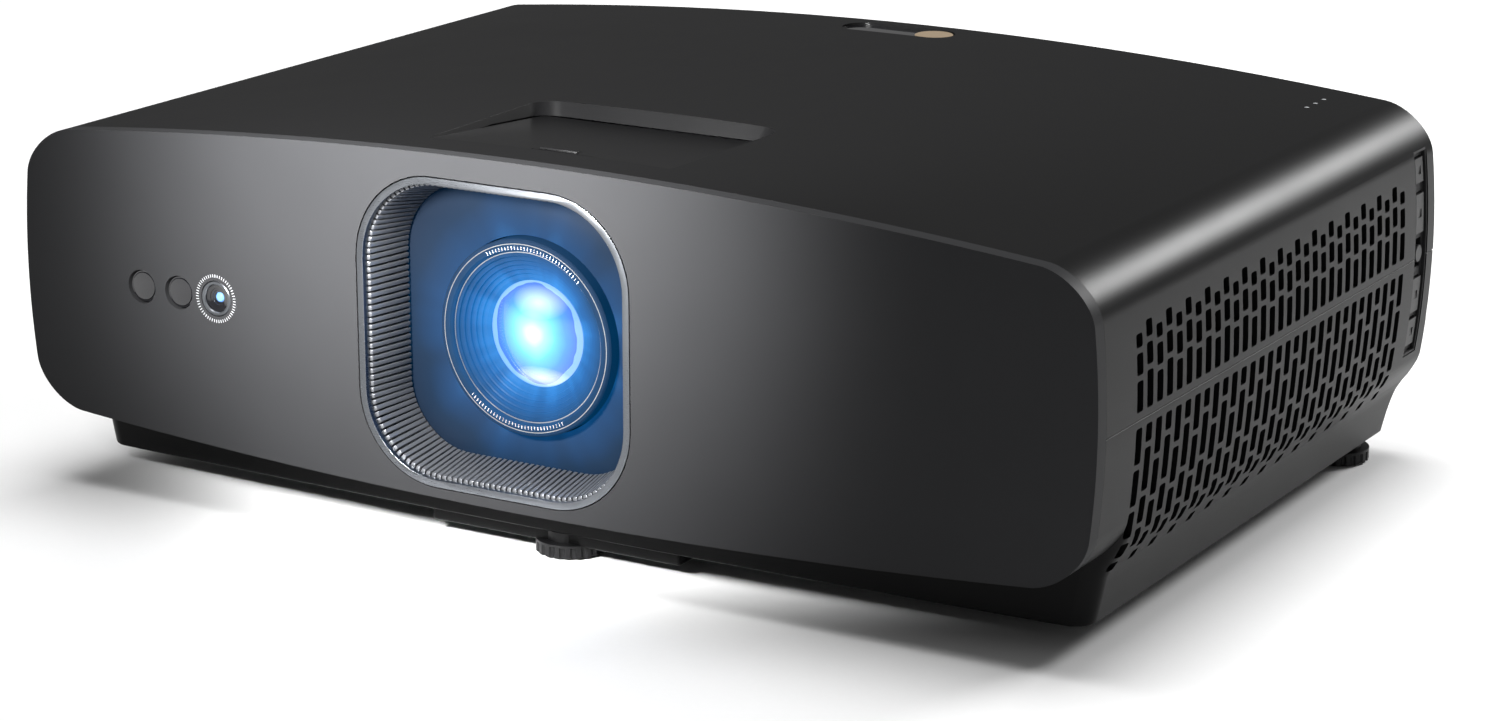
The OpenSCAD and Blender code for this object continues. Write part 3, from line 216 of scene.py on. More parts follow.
@dataclass(frozen=True)
class LitGlass:
    """The coated front glass, with a painted glow for the lamp's light coming through it, brightest round its
    middle, and two painted highlights, reflections of a softbox, over and under the middle.
    """

    slot: str
    centre: Point
    radius: float
    power: float
    # painted highlights: each one's x and z offset as shares of the radius, then how tight it is across and
    # up
    glints: tuple[tuple[float, float, float, float], ...] = ((0.10, 0.62, 1.7, 3.2), (0.12, -0.80, 1.6, 4.5))

    def material(self) -> bpy.types.Material:
        """Gives the glass's material."""
        nodes = Nodes(f"finish_{self.slot}_lit")
        inputs = nodes.shader.inputs
        inputs["Roughness"].default_value = 0.04
        inputs["Coat Weight"].default_value = 1.0
        inputs["Coat Roughness"].default_value = 0.02
        inputs["Emission Strength"].default_value = self.power
        scale = 1 / self.radius
        where = nodes.place((scale, 0, scale * 0.94), self.centre)
        length = nodes.add("ShaderNodeVectorMath", operation="LENGTH")
        nodes.link(where, length.inputs[0])
        ripple = nodes.add("ShaderNodeTexNoise", scale=1.4, detail=2.0)
        nodes.link(where, ripple.inputs["Vector"])
        reach = nodes.add("ShaderNodeMath", operation="MULTIPLY_ADD")
        reach.inputs[1].default_value = 0.24
        nodes.link(ripple.outputs["Fac"], reach.inputs[0])
        nodes.link(length.outputs["Value"], reach.inputs[2])
        glow = nodes.ramp(reach.outputs["Value"], [
            (0.22, (0.95, 0.80, 0.84)), (0.36, (0.42, 0.90, 0.86)), (0.56, (0.08, 0.58, 0.86)),
            (0.80, (0.02, 0.24, 0.78)), (1.0, (0.02, 0.14, 0.60)), (1.12, (0.25, 0.55, 0.95))])
        colour = glow.outputs["Color"]
        # painted reflections of a softbox, added onto the painted glow
        for spot in self.glints:
            glint_spot = nodes.add("ShaderNodeTexGradient", gradient_type="SPHERICAL")
            nodes.link(nodes.place((scale * spot[2], 0, scale * spot[3]), (
                self.centre[0] + spot[0] * self.radius, 0, self.centre[2] + spot[1] * self.radius)),
                       glint_spot.inputs["Vector"])
            over = nodes.add("ShaderNodeMix", data_type="RGBA", blend_type="ADD")
            bright = nodes.ramp(glint_spot.outputs["Color"], [(0.0, (0, 0, 0)), (0.9, (0.75, 0.72, 0.75))])
            over.inputs[0].default_value = 1.0
            nodes.link(colour, over.inputs[6])
            nodes.link(bright.outputs["Color"], over.inputs[7])
            colour = over.outputs[2]
        nodes.link(colour, inputs["Emission Color"])
        dark = nodes.ramp(length.outputs["Value"], [(0.2, (0.02, 0.05, 0.12)), (1.0, (0.01, 0.01, 0.05))])
        nodes.link(dark.outputs["Color"], inputs["Base Color"])
        return nodes.material


@dataclass(frozen=True)
class PaintedGlowPlate:
    """Black plate with the lens's scattered blue light painted on it as a glow in faint rays."""

    slot: str
    centre: Point
    radius: float
    reach: float
    power: float
    ray_count: float = 2.2
    ray_floor: float = 0.55
    roughness: float = 0.5

    def material(self) -> bpy.types.Material:
        """Gives the plate's material."""
        nodes = Nodes(f"finish_{self.slot}_hazed_{self.power:g}")
        inputs = nodes.shader.inputs
        inputs["Base Color"].default_value = (0.004, 0.006, 0.010, 1)
        inputs["Roughness"].default_value = self.roughness
        inputs["Specular IOR Level"].default_value = 0.03
        # painted light: the emission stands in for blue light that scatters from the lens onto the plate
        inputs["Emission Strength"].default_value = self.power
        where = nodes.place((1, 0, 1), self.centre)
        length = nodes.add("ShaderNodeVectorMath", operation="LENGTH")
        nodes.link(where, length.inputs[0])
        fall = nodes.add("ShaderNodeMapRange", interpolation_type="SMOOTHSTEP")
        fall.inputs["From Min"].default_value = self.radius
        fall.inputs["From Max"].default_value = self.reach
        fall.inputs["To Min"].default_value = 1
        fall.inputs["To Max"].default_value = 0
        nodes.link(length.outputs["Value"], fall.inputs["Value"])
        unit = nodes.add("ShaderNodeVectorMath", operation="NORMALIZE")
        nodes.link(where, unit.inputs[0])
        rays = nodes.add("ShaderNodeTexNoise", scale=self.ray_count, detail=1.5)
        nodes.link(unit.outputs["Vector"], rays.inputs["Vector"])
        painted_ray = nodes.add("ShaderNodeMapRange")
        painted_ray.inputs["From Min"].default_value = 0.3
        painted_ray.inputs["From Max"].default_value = 0.75
        painted_ray.inputs["To Min"].default_value = self.ray_floor
        nodes.link(rays.outputs["Fac"], painted_ray.inputs["Value"])
        level = nodes.add("ShaderNodeMath", operation="MULTIPLY")
        nodes.link(fall.outputs["Result"], level.inputs[0])
        nodes.link(painted_ray.outputs["Result"], level.inputs[1])
        glow = nodes.ramp(level.outputs["Value"], [
            (0.0, (0.0, 0.006, 0.020)), (0.35, (0.0, 0.045, 0.13)), (0.7, (0.004, 0.13, 0.42)),
            (1.0, (0.03, 0.32, 0.90))])
        nodes.link(glow.outputs["Color"], inputs["Emission Color"])
        return nodes.material


SHELL = Finish("case_black", (0.0042, 0.0042, 0.0044), 0.36, grain_size=0.35, relief=0.008, specular=0.075)
GRAPHITE = Finish("fascia_graphite", (0.0235, 0.0238, 0.0250), 0.45, 0.0, specular=0.05, grain_size=0.12,
                  relief=0.003,
                  variation=0.06, rough_variation=0.03)
PANEL = Finish("panel_black", (0.008, 0.008, 0.0085), 0.6, specular=0.3, grain_size=0.6, relief=0.02)
SILVER = Finish("satin_silver", (0.18, 0.19, 0.205), 0.28, 1.0, grain=Grain.BRUSHED, grain_size=0.15,
                relief=0.002)
RIBS = Finish("funnel_grey", (0.13, 0.135, 0.145), 0.34, 0.7, grain_size=0.2, relief=0.004)
WINDOW = Finish("window_black", (0.004, 0.004, 0.005), 0.08, coat=1.0, coat_roughness=0.03,
                grain=Grain.SMOOTH, relief=0, rough_variation=0.02)
GOLD = Finish("pale_gold", (0.62, 0.47, 0.31), 0.34, 0.8, grain=Grain.BRUSHED, grain_size=0.12, relief=0.002)
LIGHT_PIPE = Finish("light_pipe", (0.35, 0.36, 0.37), 0.3, grain=Grain.SMOOTH, relief=0)
STEEL = Finish("bright_steel", (0.52, 0.53, 0.54), 0.3, 1.0, grain=Grain.BRUSHED, grain_size=0.2,
               relief=0.003)
CAST = Finish("cast_alloy", (0.30, 0.31, 0.32), 0.55, 1.0, grain=Grain.CAST, grain_size=0.8, relief=0.04)
INNER = Finish("inner_black", (0.008, 0.008, 0.009), 0.7, grain_size=0.5, relief=0.02)
BARREL = Finish("barrel_black", (0.012, 0.012, 0.014), 0.34, 0.2, grain=Grain.BRUSHED, grain_size=0.2,
                relief=0.003)
GRIP = Finish("grip_black", (0.014, 0.014, 0.014), 0.62, grain_size=0.4, relief=0.02)
LENS = Finish("lens_glass", (0.10, 0.22, 0.50), 0.05, coat=1.0, coat_roughness=0.02, grain=Grain.SMOOTH,
              relief=0,
              rough_variation=0.02)
CLEAR = Finish("clear_glass", (0.85, 0.93, 0.97), 0.04, grain=Grain.SMOOTH, relief=0, rough_variation=0.02,
               transmission=0.9)
MIRROR = Finish("mirror_coat", (0.66, 0.58, 0.86), 0.06, 1.0, grain=Grain.SMOOTH, relief=0,
                rough_variation=0.03)
LAMP = Finish("light_module", (0.60, 0.50, 0.24), 0.4, 0.6, grain=Grain.BOARD, grain_size=3.0, relief=0.05)
ALUMINIUM = Finish("bare_aluminium", (0.62, 0.63, 0.64), 0.4, 1.0, grain=Grain.BRUSHED, grain_size=0.3,
                   relief=0.006)
BOARD = Finish("board_green", (0.016, 0.10, 0.052), 0.35, grain=Grain.BOARD, grain_size=4.0, relief=0.05,
               variation=0.35)
TAN_BOARD = Finish("board_tan", (0.20, 0.125, 0.045), 0.5, grain=Grain.BOARD, grain_size=5.0, relief=0.05,
                   variation=0.3)
SOCKET = Finish("socket_metal", (0.46, 0.47, 0.48), 0.32, 1.0, grain=Grain.BRUSHED, grain_size=0.2,
                relief=0.003)
CONE = Finish("cone_grey", (0.03, 0.03, 0.03), 0.85, grain=Grain.CAST, grain_size=0.6, relief=0.06)
KEY = Finish("key_black", (0.011, 0.011, 0.0115), 0.40, specular=0.2, grain_size=0.3, relief=0.006)
FOOT = Finish("foot_black", (0.006, 0.006, 0.0065), 0.42, specular=0.2, grain_size=0.4, relief=0.01)
SOLE = Finish("sole_rubber", (0.012, 0.012, 0.012), 0.85, grain=Grain.CAST, grain_size=0.5, relief=0.04)
FINISHES = {f.slot: f for f in (
    SHELL, GRAPHITE, PANEL, SILVER, RIBS, WINDOW, GOLD, LIGHT_PIPE, STEEL, CAST, INNER, BARREL, GRIP, LENS,
    CLEAR,
    MIRROR, LAMP, ALUMINIUM, BOARD, TAN_BOARD, SOCKET, CONE, KEY, FOOT, SOLE)}
FINISHES["grille_black"] = SHELL


# ---------------------------------------------------------------- bench tools


def pick(*objects: Piece) -> Piece:
    """Selects only these objects and makes the first one active.

    Args:
        objects: the objects to work on.

    Returns:
        The first one.
    """
    if bpy.context.object and bpy.context.object.mode != "OBJECT":
        bpy.ops.object.mode_set(mode="OBJECT")
    bpy.ops.object.select_all(action="DESELECT")
    for item in objects:
        item.select_set(True)
    bpy.context.view_layer.objects.active = objects[0]
    return objects[0]


def named(name: str) -> Piece:
    """Names the active object and its mesh, and returns it."""
    made = bpy.context.object
    made.name = name
    made.data.name = name
    return made


def settle(piece: Piece) -> Piece:
    """Moves a piece's place, turn and scale into its mesh, and returns it."""
    pick(piece)
    bpy.ops.object.transform_apply(location=True, rotation=True, scale=True)
    return piece


def block(name: str, low: Point, high: Point) -> Piece:
    """Adds a box between two corners.

    Args:
        name: the object's name.
        low: its lowest corner.
        high: its highest corner.

    Returns:
        The box.
    """
    centre = [(a + b) / 2 for a, b in zip(low, high)]
    bpy.ops.mesh.primitive_cube_add(size=1, location=centre)
    box = named(name)
    box.scale = [b - a for a, b in zip(low, high)]
    return settle(box)


def rod(name: str, start: Point, length: float, radius: float, axis: str, sides: int = 64) -> Piece:
    """Adds a cylinder.

    Args:
        name: the object's name.
        start: the middle of its first end.
        length: its length along the axis.
        radius: its radius.
        axis: X, Y or Z.
        sides: the number of its sides.

    Returns:
        The cylinder.
    """
    turn = {"X": (0, math.pi / 2, 0), "Y": (math.pi / 2, 0, 0), "Z": (0, 0, 0)}[axis]
    centre = Vector(start)
    centre["XYZ".index(axis)] += length / 2
    bpy.ops.mesh.primitive_cylinder_add(radius=radius, depth=length, location=centre, rotation=turn,
                                        vertices=sides)
    return settle(named(name))


def graph(value: Callable[[float], float], slope: Callable[[float], float], start: float, end: float,
          upright: bool = False) -> Segment:
    """Gives the stretch of a curve that follows a formula.

    Args:
        value: the formula.
        slope: its slope.
        start: where the stretch starts.
        end: where it ends.
        upright: True where the formula gives the first coordinate from the second.

    Returns:
        The stretch as a cubic.
    """
    step = (end - start) / 3
    points = [(start, value(start)), (start + step, value(start) + slope(start) * step),
              (end - step, value(end) - slope(end) * step), (end, value(end))]
    return tuple((b, a) if upright else (a, b) for a, b in points)


def line(start: Flat, end: Flat) -> Segment:
    """Gives a straight stretch from start to end."""
    (a, b), (c, d) = start, end
    return start, (a + (c - a) / 3, b + (d - b) / 3), (c - (c - a) / 3, d - (d - b) / 3), end


def round_corner(start: Flat, leave: Flat, arrive: Flat, end: Flat, reach: float) -> Segment:
    """Gives a rounded corner.

    Args:
        start: where it starts.
        leave: the direction in which it starts.
        arrive: the direction in which it ends.
        end: where it ends.
        reach: the length of its handles.

    Returns:
        The corner as a cubic.
    """
    first = Vector(leave).normalized() * reach
    last = Vector(arrive).normalized() * reach
    return start, (start[0] + first.x, start[1] + first.y), (end[0] - last.x, end[1] - last.y), end


def mirrored(segments: Iterable[Segment]) -> list[Segment]:
    """Mirrors stretches left to right, in the order that carries on from the right half."""
    return [tuple((-x, y) for x, y in reversed(s)) for s in reversed(list(segments))]


def outline(name: str, segments: Sequence[Segment], closed: bool, spread: Callable[[float, float], Point],
            detail: int = 14) -> Piece:
    """Draws a curve of cubic stretches and makes it a mesh of edges.

    Args:
        name: the object's name.
        segments: the stretches, end to end.
        closed: True where the last stretch ends at the first one's start.
        spread: places a flat point in space.
        detail: the number of edges to a stretch.

    Returns:
        The mesh.
    """
    bpy.ops.curve.primitive_bezier_curve_add()
    drawn = named(name)
    drawn.data.dimensions = "3D"
    spline = drawn.data.splines[0]
    knots = len(segments) + (0 if closed else 1)
    spline.bezier_points.add(knots - 2)
    spline.use_cyclic_u = closed
    spline.resolution_u = detail
    for knot in spline.bezier_points:
        knot.handle_left_type = knot.handle_right_type = "FREE"
    count = len(spline.bezier_points)
    for index, (start, leave, arrive, end) in enumerate(segments):
        here, after = spline.bezier_points[index], spline.bezier_points[(index + 1) % count]
        here.co, here.handle_right = spread(*start), spread(*leave)
        after.handle_left, after.co = spread(*arrive), spread(*end)
    if not closed:
        spline.bezier_points[0].handle_left = spread(*segments[0][0])
        spline.bezier_points[-1].handle_right = spread(*segments[-1][3])
    pick(drawn)
    bpy.ops.object.transform_apply(location=True, rotation=True, scale=True)
    bpy.ops.object.convert(target="MESH")
    return named(name)


def upright_at(y: float) -> Callable[[float, float], Point]:
    """Places flat points in the X-Z plane at that y."""
    return lambda x, z: (x, y, z)


def level_at(z: float) -> Callable[[float, float], Point]:
    """Places flat points in the X-Y plane at that z."""
    return lambda x, y: (x, y, z)


def edit(piece: Piece, kind: str = "VERT") -> None:
    """Opens a piece in edit mode with everything selected."""
    pick(piece)
    bpy.ops.object.mode_set(mode="EDIT")
    bpy.ops.mesh.select_mode(type=kind)
    bpy.ops.mesh.select_all(action="SELECT")


def done() -> None:
    """Leaves edit mode."""
    bpy.ops.object.mode_set(mode="OBJECT")


def extrude(piece: Piece, along: Point) -> Piece:
    """Fills an outline and extrudes it to a solid.

    Args:
        piece: the outline.
        along: how far it goes.

    Returns:
        The piece.
    """
    edit(piece)
    bpy.ops.mesh.edge_face_add()
    bpy.ops.mesh.extrude_region_move(TRANSFORM_OT_translate={"value": along})
    bpy.ops.mesh.select_all(action="SELECT")
    bpy.ops.mesh.normals_make_consistent(inside=False)
    done()
    return piece


def select_where(piece: Piece, test: Callable[[Vector], bool], kind: str = "VERT") -> int:
    """Selects a piece's vertices, edges or faces by their place, in edit mode.

    Args:
        piece: the piece, which is left in edit mode.
        test: says whether a vertex's place, an edge's middle or a face's centre is wanted.
        kind: VERT, EDGE or FACE.

    Returns:
        The number selected.
    """
    edit(piece, kind)
    bpy.ops.mesh.select_all(action="DESELECT")
    done()
    mesh = piece.data
    if kind == "VERT":
        places = [(v, v.co) for v in mesh.vertices]
    elif kind == "EDGE":
        ends = [(e, *(mesh.vertices[v].co for v in e.vertices)) for e in mesh.edges]
        places = [(e, (first + last) / 2) for e, first, last in ends]
    else:
        places = [(p, p.center) for p in mesh.polygons]
    chosen = [item for item, place in places if test(place)]
    for item in chosen:
        item.select = True
    bpy.ops.object.mode_set(mode="EDIT")
    return len(chosen)


def modify(piece: Piece, kind: str, **values: object) -> Piece:
    """Adds a modifier to a piece and applies it.

    Args:
        piece: the piece.
        kind: the modifier's type.
        values: its settings.

    Returns:
        The piece.
    """
    pick(piece)
    modifier = piece.modifiers.new(kind.lower(), kind)
    for key, value in values.items():
        setattr(modifier, key, value)
    bpy.ops.object.modifier_apply(modifier=modifier.name)
    return piece


def combine(piece: Piece, tools: Iterable[Piece], how: str = "DIFFERENCE") -> Piece:
    """Cuts a piece with tools, joins them to it or keeps what they share.

    Args:
        piece: the piece.
        tools: the other solids, which are used up.
        how: DIFFERENCE, UNION or INTERSECT.

    Returns:
        The piece.
    """
    for tool in tools:
        modify(piece, "BOOLEAN", operation=how, object=tool, solver="MANIFOLD")
        bpy.data.objects.remove(tool)
    return piece


def duplicate(piece: Piece, place: Matrix) -> Piece:
    """Copies a piece with its own mesh and sets it at that place.

    Args:
        piece: the piece.
        place: where the copy goes.

    Returns:
        The copy.
    """
    copy = piece.copy()
    copy.data = piece.data.copy()
    bpy.context.collection.objects.link(copy)
    copy.matrix_world = place
    return copy


def join(name: str, parts: Sequence[Piece]) -> Piece:
    """Joins parts into one object of that name and returns it."""
    pick(*parts)
    bpy.ops.object.join()
    return named(name)


def soften(piece: Piece, width: float, segments: int = 2, angle: float = 30) -> Piece:
    """Rounds a piece's sharp edges.

    Args:
        piece: the piece.
        width: the width of the rounding.
        segments: its number of steps.
        angle: the least angle between faces, in degrees, that is rounded.

    Returns:
        The piece.
    """
    return modify(piece, "BEVEL", width=width, segments=segments, limit_method="ANGLE",
                  angle_limit=math.radians(angle), use_clamp_overlap=True, harden_normals=False)


def round_edges(piece: Piece, test: Callable[[Vector], bool], width: float,
                segments: int = 3) -> Piece:
    """Rounds only the edges whose middles pass a test.

    Args:
        piece: the piece.
        test: says whether an edge's middle is wanted.
        width: the width of the rounding.
        segments: its number of steps.

    Returns:
        The piece.
    """
    select_where(piece, test, "EDGE")
    bpy.ops.mesh.bevel(offset=width, segments=segments, affect="EDGES")
    done()
    return piece


def smooth(piece: Piece, angle: float = SMOOTH_ANGLE) -> Piece:
    """Shades a piece smooth except over its sharp edges, and returns it."""
    pick(piece)
    bpy.ops.object.shade_smooth_by_angle(angle=angle)
    return piece


def even(piece: Piece) -> Piece:
    """Turns a piece's shading towards its larger faces, and returns it."""
    return modify(piece, "WEIGHTED_NORMAL", mode="FACE_AREA", keep_sharp=True)


def ring_of(seed: Piece, centre: Flat, turns: Iterable[float]) -> list[Piece]:
    """Copies a seed, modelled over the origin, to each turn about a Y axis, and removes the seed.

    Args:
        seed: the piece to repeat.
        centre: the axis's x and z.
        turns: the copies' angles.

    Returns:
        The copies.
    """
    to_axis = Matrix.Translation((centre[0], 0, centre[1]))
    copies = [duplicate(seed, to_axis @ Matrix.Rotation(turn, 4, "Y")) for turn in turns]
    bpy.data.objects.remove(seed)
    return copies


def spun(name: str, profile: Sequence[Flat], centre: Point, axis: Point, steps: int = 96) -> Piece:
    """Turns a profile into a round piece.

    Args:
        name: the object's name.
        profile: points of radius and place along the axis, both absolute.
        centre: a point on the axis, at place 0 along it.
        axis: the axis, which is Y or Z.
        steps: the number of steps round.

    Returns:
        The piece, closed where the profile starts and ends on the axis or meets itself.
    """
    def spread(radius: float, place: float) -> Point:
        return tuple(Vector(centre) + Vector(axis) * place + Vector((1, 0, 0)) * radius)

    stretches = [line(a, b) for a, b in zip(profile, profile[1:])]
    ring = outline(name, stretches, False, spread, detail=1)
    edit(ring)
    bpy.ops.mesh.spin(steps=steps, angle=2 * math.pi, center=centre, axis=axis)
    bpy.ops.mesh.select_all(action="SELECT")
    bpy.ops.mesh.remove_doubles(threshold=1e-6)
    bpy.ops.mesh.normals_make_consistent(inside=False)
    done()
    return ring


def finish(piece: Piece, coat: "Finish | LitGlass | PaintedGlowPlate", body: str,
           stands_for: Sequence[str] = ()) -> Piece:
    """Dresses a piece, fastens it to its body and reports it.

    Args:
        piece: the piece.
        coat: its finish.
        body: the body that it moves with.
        stands_for: the frame's nodes that it replaces.

    Returns:
        The piece.
    """
    piece.data.materials.clear()
    piece.data.materials.append(coat.material())
    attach(piece, body)
    if stands_for:
        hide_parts(*stands_for)
    log.info("%s: %d faces on %s", piece.name, len(piece.data.polygons), body)
    return piece


def rework(node: str, coat: Finish, width: float = 0.0, angle: float = 32, level: float = 0.1) -> Piece:
    """Copies a frame node, merges its mesh, rounds its sharp edges and dresses it.

    Args:
        node: the frame's node.
        coat: its finish.
        width: the width of the rounding in metres, or 0 for none.
        angle: the least angle, in degrees, that is rounded and stays sharp in the shading.
        level: the angle, in degrees, up to which faces count as one flat face.

    Returns:
        The piece, which replaces the node.
    """
    copy = frame["nodes"][node].copy()
    copy.data = copy.data.copy()
    bpy.context.collection.objects.link(copy)
    copy.parent = None
    for key in list(copy.keys()):
        del copy[key]
    pick(copy)
    if copy.data.has_custom_normals:
        bpy.ops.mesh.customdata_custom_splitnormals_clear()
    edit(copy)
    bpy.ops.mesh.remove_doubles(threshold=2e-6)
    if width > 0:
        bpy.ops.mesh.dissolve_limited(angle_limit=math.radians(level))
    done()
    copy.name = f"{node}_piece"
    copy.data.name = copy.name
    if width > 0:
        soften(copy, width, 2, angle)
    even(smooth(copy, math.radians(angle)))
    return finish(copy, coat, BODY_OF[node], [node])



# ---------------------------------------------------------------- shapes that pieces share


@dataclass(frozen=True)
class Silhouette:
    """The case's front outline: a low crowned top, bowed sides, a raised chin and rounded corners."""

    half_width: float = 210 * MM
    height: float = 140.5 * MM
    crown_sag: float = 11.8 * MM
    side_sag: float = 6 * MM
    mid_z: float = 80.75 * MM
    half_height: float = 59.75 * MM
    chin_z: float = 21 * MM
    chin_sag: float = 9.5 * MM
    top_round: float = 15 * MM
    chin_round: float = 16 * MM
    corner_reach: float = 0.55

    def top(self, x: float, inset: float = 0) -> float:
        """Gives the height of the top at x, in metres, as all these methods do."""
        return self.height - inset - self.crown_sag * (x / self.half_width) ** 2

    def chin(self, x: float, inset: float = 0) -> float:
        """Gives the height of the chin at x."""
        return self.chin_z + inset + self.chin_sag * (x / self.half_width) ** 2

    def side(self, z: float, inset: float = 0) -> float:
        """Gives the x of the right side at height z."""
        return self.half_width - inset - self.side_sag * ((z - self.mid_z) / self.half_height) ** 2

    def side_slope(self, z: float) -> float:
        """Gives the slope of the side, x over z, at height z."""
        return -2 * self.side_sag * (z - self.mid_z) / self.half_height ** 2

    def right_half(self, inset: float) -> list[Segment]:
        """Gives the right half of the outline, from the middle of the top down to the middle of the chin.

        Args:
            inset: how far it lies inside the case's own outline.

        Returns:
            Its stretches.
        """
        crown = 2 * self.crown_sag / self.half_width ** 2
        lift = 2 * self.chin_sag / self.half_width ** 2
        upper = max(self.top_round - inset / 2, 2 * MM)
        lower = max(self.chin_round - inset / 2, 2 * MM)
        edge = self.half_width - inset - self.side_sag
        high = self.height - inset - self.crown_sag - upper
        low = self.chin_z + inset + self.chin_sag + lower
        top = graph(lambda x: self.top(x, inset), lambda x: -crown * x, 0, edge - upper)
        side = graph(lambda z: self.side(z, inset), self.side_slope, high, low, upright=True)
        chin = graph(lambda x: self.chin(x, inset), lambda x: lift * x, edge - lower, 0)
        first = round_corner(top[3], (1, -crown * (edge - upper)), (-self.side_slope(high), -1), side[0],
                             upper * self.corner_reach)
        second = round_corner(side[3], (-self.side_slope(low), -1), (-1, -lift * (edge - lower)), chin[0],
                              lower * self.corner_reach)
        return [top, first, side, second, chin]

    def slab(self, name: str, inset: float, front: float, back: float, detail: int = 14) -> Piece:
        """Makes a solid of the outline.

        Args:
            name: the solid's name.
            inset: how far it lies inside the outline.
            front: the y of its front.
            back: the y of its back.
            detail: the number of edges to a stretch.

        Returns:
            The solid.
        """
        right = self.right_half(inset)
        ring = outline(name, right + mirrored(right), True, upright_at(front), detail)
        return extrude(ring, (0, back - front, 0))


def round_rectangle(width: float, height: float, radius: float, centre: Flat) -> list[Segment]:
    """Gives a rounded rectangle, clockwise from the left end of its top.

    Args:
        width: its width.
        height: its height.
        radius: its corners' radius.
        centre: its centre.

    Returns:
        Its stretches.
    """
    cx, cz = centre
    half_w, half_h, reach = width / 2, height / 2, radius * 0.5523
    stretches = []
    corners = [((1, 1), (1, 0), (0, -1)), ((1, -1), (0, -1), (-1, 0)), ((-1, -1), (-1, 0), (0, 1)),
               ((-1, 1), (0, 1), (1, 0))]
    for index, ((sx, sz), leave, arrive) in enumerate(corners):
        start = (cx + sx * half_w - (sx * radius if leave[0] else 0),
                 cz + sz * half_h - (sz * radius if leave[1] else 0))
        end = (cx + sx * half_w - (sx * radius if arrive[0] else 0),
               cz + sz * half_h - (sz * radius if arrive[1] else 0))
        corner = round_corner(start, leave, arrive, end, reach)
        if index:
            stretches.append(line(stretches[-1][3], start))
        stretches.append(corner)
    stretches.append(line(stretches[-1][3], stretches[0][0]))
    return stretches


@dataclass(frozen=True)
class Opening:
    """A rounded rectangular opening in the X-Z plane, in metres."""

    width: float
    height: float
    radius: float
    centre: Flat

    def grown(self, by: float) -> "Opening":
        """Gives the same opening, larger all round."""
        return Opening(self.width + 2 * by, self.height + 2 * by, self.radius + by, self.centre)

    def loop(self, name: str, y: float, detail: int = 12) -> Piece:
        """Draws it as a loop of edges at that y."""
        return outline(name, round_rectangle(self.width, self.height, self.radius, self.centre), True,
                       upright_at(y), detail)

    def plug(self, name: str, front: float, back: float, detail: int = 12) -> Piece:
        """Makes a solid of it from front to back."""
        return extrude(self.loop(name, front, detail), (0, back - front, 0))

    def place_at(self, distance: float) -> tuple[Point, float]:
        """Gives a place along the loop.

        Args:
            distance: the way along it, clockwise from the left end of its top.

        Returns:
            The place, with y 0, and the angle of the outward direction, clockwise from straight up.
        """
        straight_w, straight_h = self.width - 2 * self.radius, self.height - 2 * self.radius
        arc = self.radius * math.pi / 2
        cx, cz = self.centre
        sides = [(straight_w, (-1, 1), (1, 0)), (straight_h, (1, 1), (0, -1)), (straight_w, (1, -1), (-1, 0)),
                 (straight_h, (-1, -1), (0, 1))]
        for index, (length, (sx, sz), (dx, dz)) in enumerate(sides):
            turn = index * math.pi / 2
            start = Vector((cx + sx * straight_w / 2, 0, cz + sz * straight_h / 2))
            out = Vector((math.sin(turn), 0, math.cos(turn)))
            if distance <= length:
                return tuple(start + out * self.radius + Vector((dx, 0, dz)) * distance), turn
            distance -= length
            if distance <= arc:
                angle = turn + distance / self.radius
                middle = start + Vector((dx, 0, dz)) * length
                return tuple(middle + Vector((math.sin(angle), 0, math.cos(angle))) * self.radius), angle
            distance -= arc
        return tuple(Vector((cx - straight_w / 2, 0, cz + self.height / 2))), 0.0

    def length(self) -> float:
        """Gives the loop's length."""
        return 2 * (self.width + self.height - 4 * self.radius) + 2 * math.pi * self.radius


# ---------------------------------------------------------------- the case


@dataclass(frozen=True)
class Vents:
    """The side vents: columns of rounded slots above and below the split line."""

    columns: int = 31
    first_y: float = -111 * MM
    pitch: float = 7.35 * MM
    width: float = 4.5 * MM
    corner: float = 0.9 * MM
    split: float = 78 * MM
    inner_x: float = 190 * MM
    outer_x: float = 216 * MM
    upper: tuple[tuple[Flat, ...], ...] = (((2.6, 12.6), (14.4, 21.4), (23.2, 27.6)),
                                           ((2.6, 14.6), (16.4, 23.4), (25.2, 30.6)))
    lower: tuple[tuple[Flat, ...], ...] = (((2.6, 14.4), (16.3, 28.2), (30.1, 38.8), (40.6, 45.6),
                                            (47.2, 50.4)),
                                           ((2.6, 8.6), (10.5, 24.8), (26.7, 35.6), (37.4, 43.6)))

    def cutter(self, name: str, rows: Sequence[Sequence[Flat]], way: int) -> Piece:
        """Makes the solid that cuts all slots of both sides.

        Args:
            name: its name.
            rows: the slots of even and of odd columns, as distances from the split line in millimetres.
            way: 1 for slots above the line, -1 for slots below it.

        Returns:
            The cutter.
        """
        seeds = []
        for row in rows:
            for near, far in row:
                low, high = sorted((self.split + way * near * MM, self.split + way * far * MM))
                seed = block(name, (self.inner_x, -self.width / 2, low), (self.outer_x, self.width / 2, high))
                round_edges(seed, lambda p: abs(p.x - (self.inner_x + self.outer_x) / 2) < 1 * MM,
                            self.corner)
                seeds.append((rows.index(row), seed))
        copies = []
        for column in range(self.columns):
            for parity, seed in seeds:
                if parity == column % 2:
                    for shift in (0, -self.inner_x - self.outer_x):
                        place = Matrix.Translation((shift, self.first_y + column * self.pitch, 0))
                        copies.append(duplicate(seed, place))
        for _, seed in seeds:
            bpy.data.objects.remove(seed)
        pick(*copies)
        bpy.ops.object.transform_apply(location=True, rotation=True, scale=True)
        return join(name, copies)


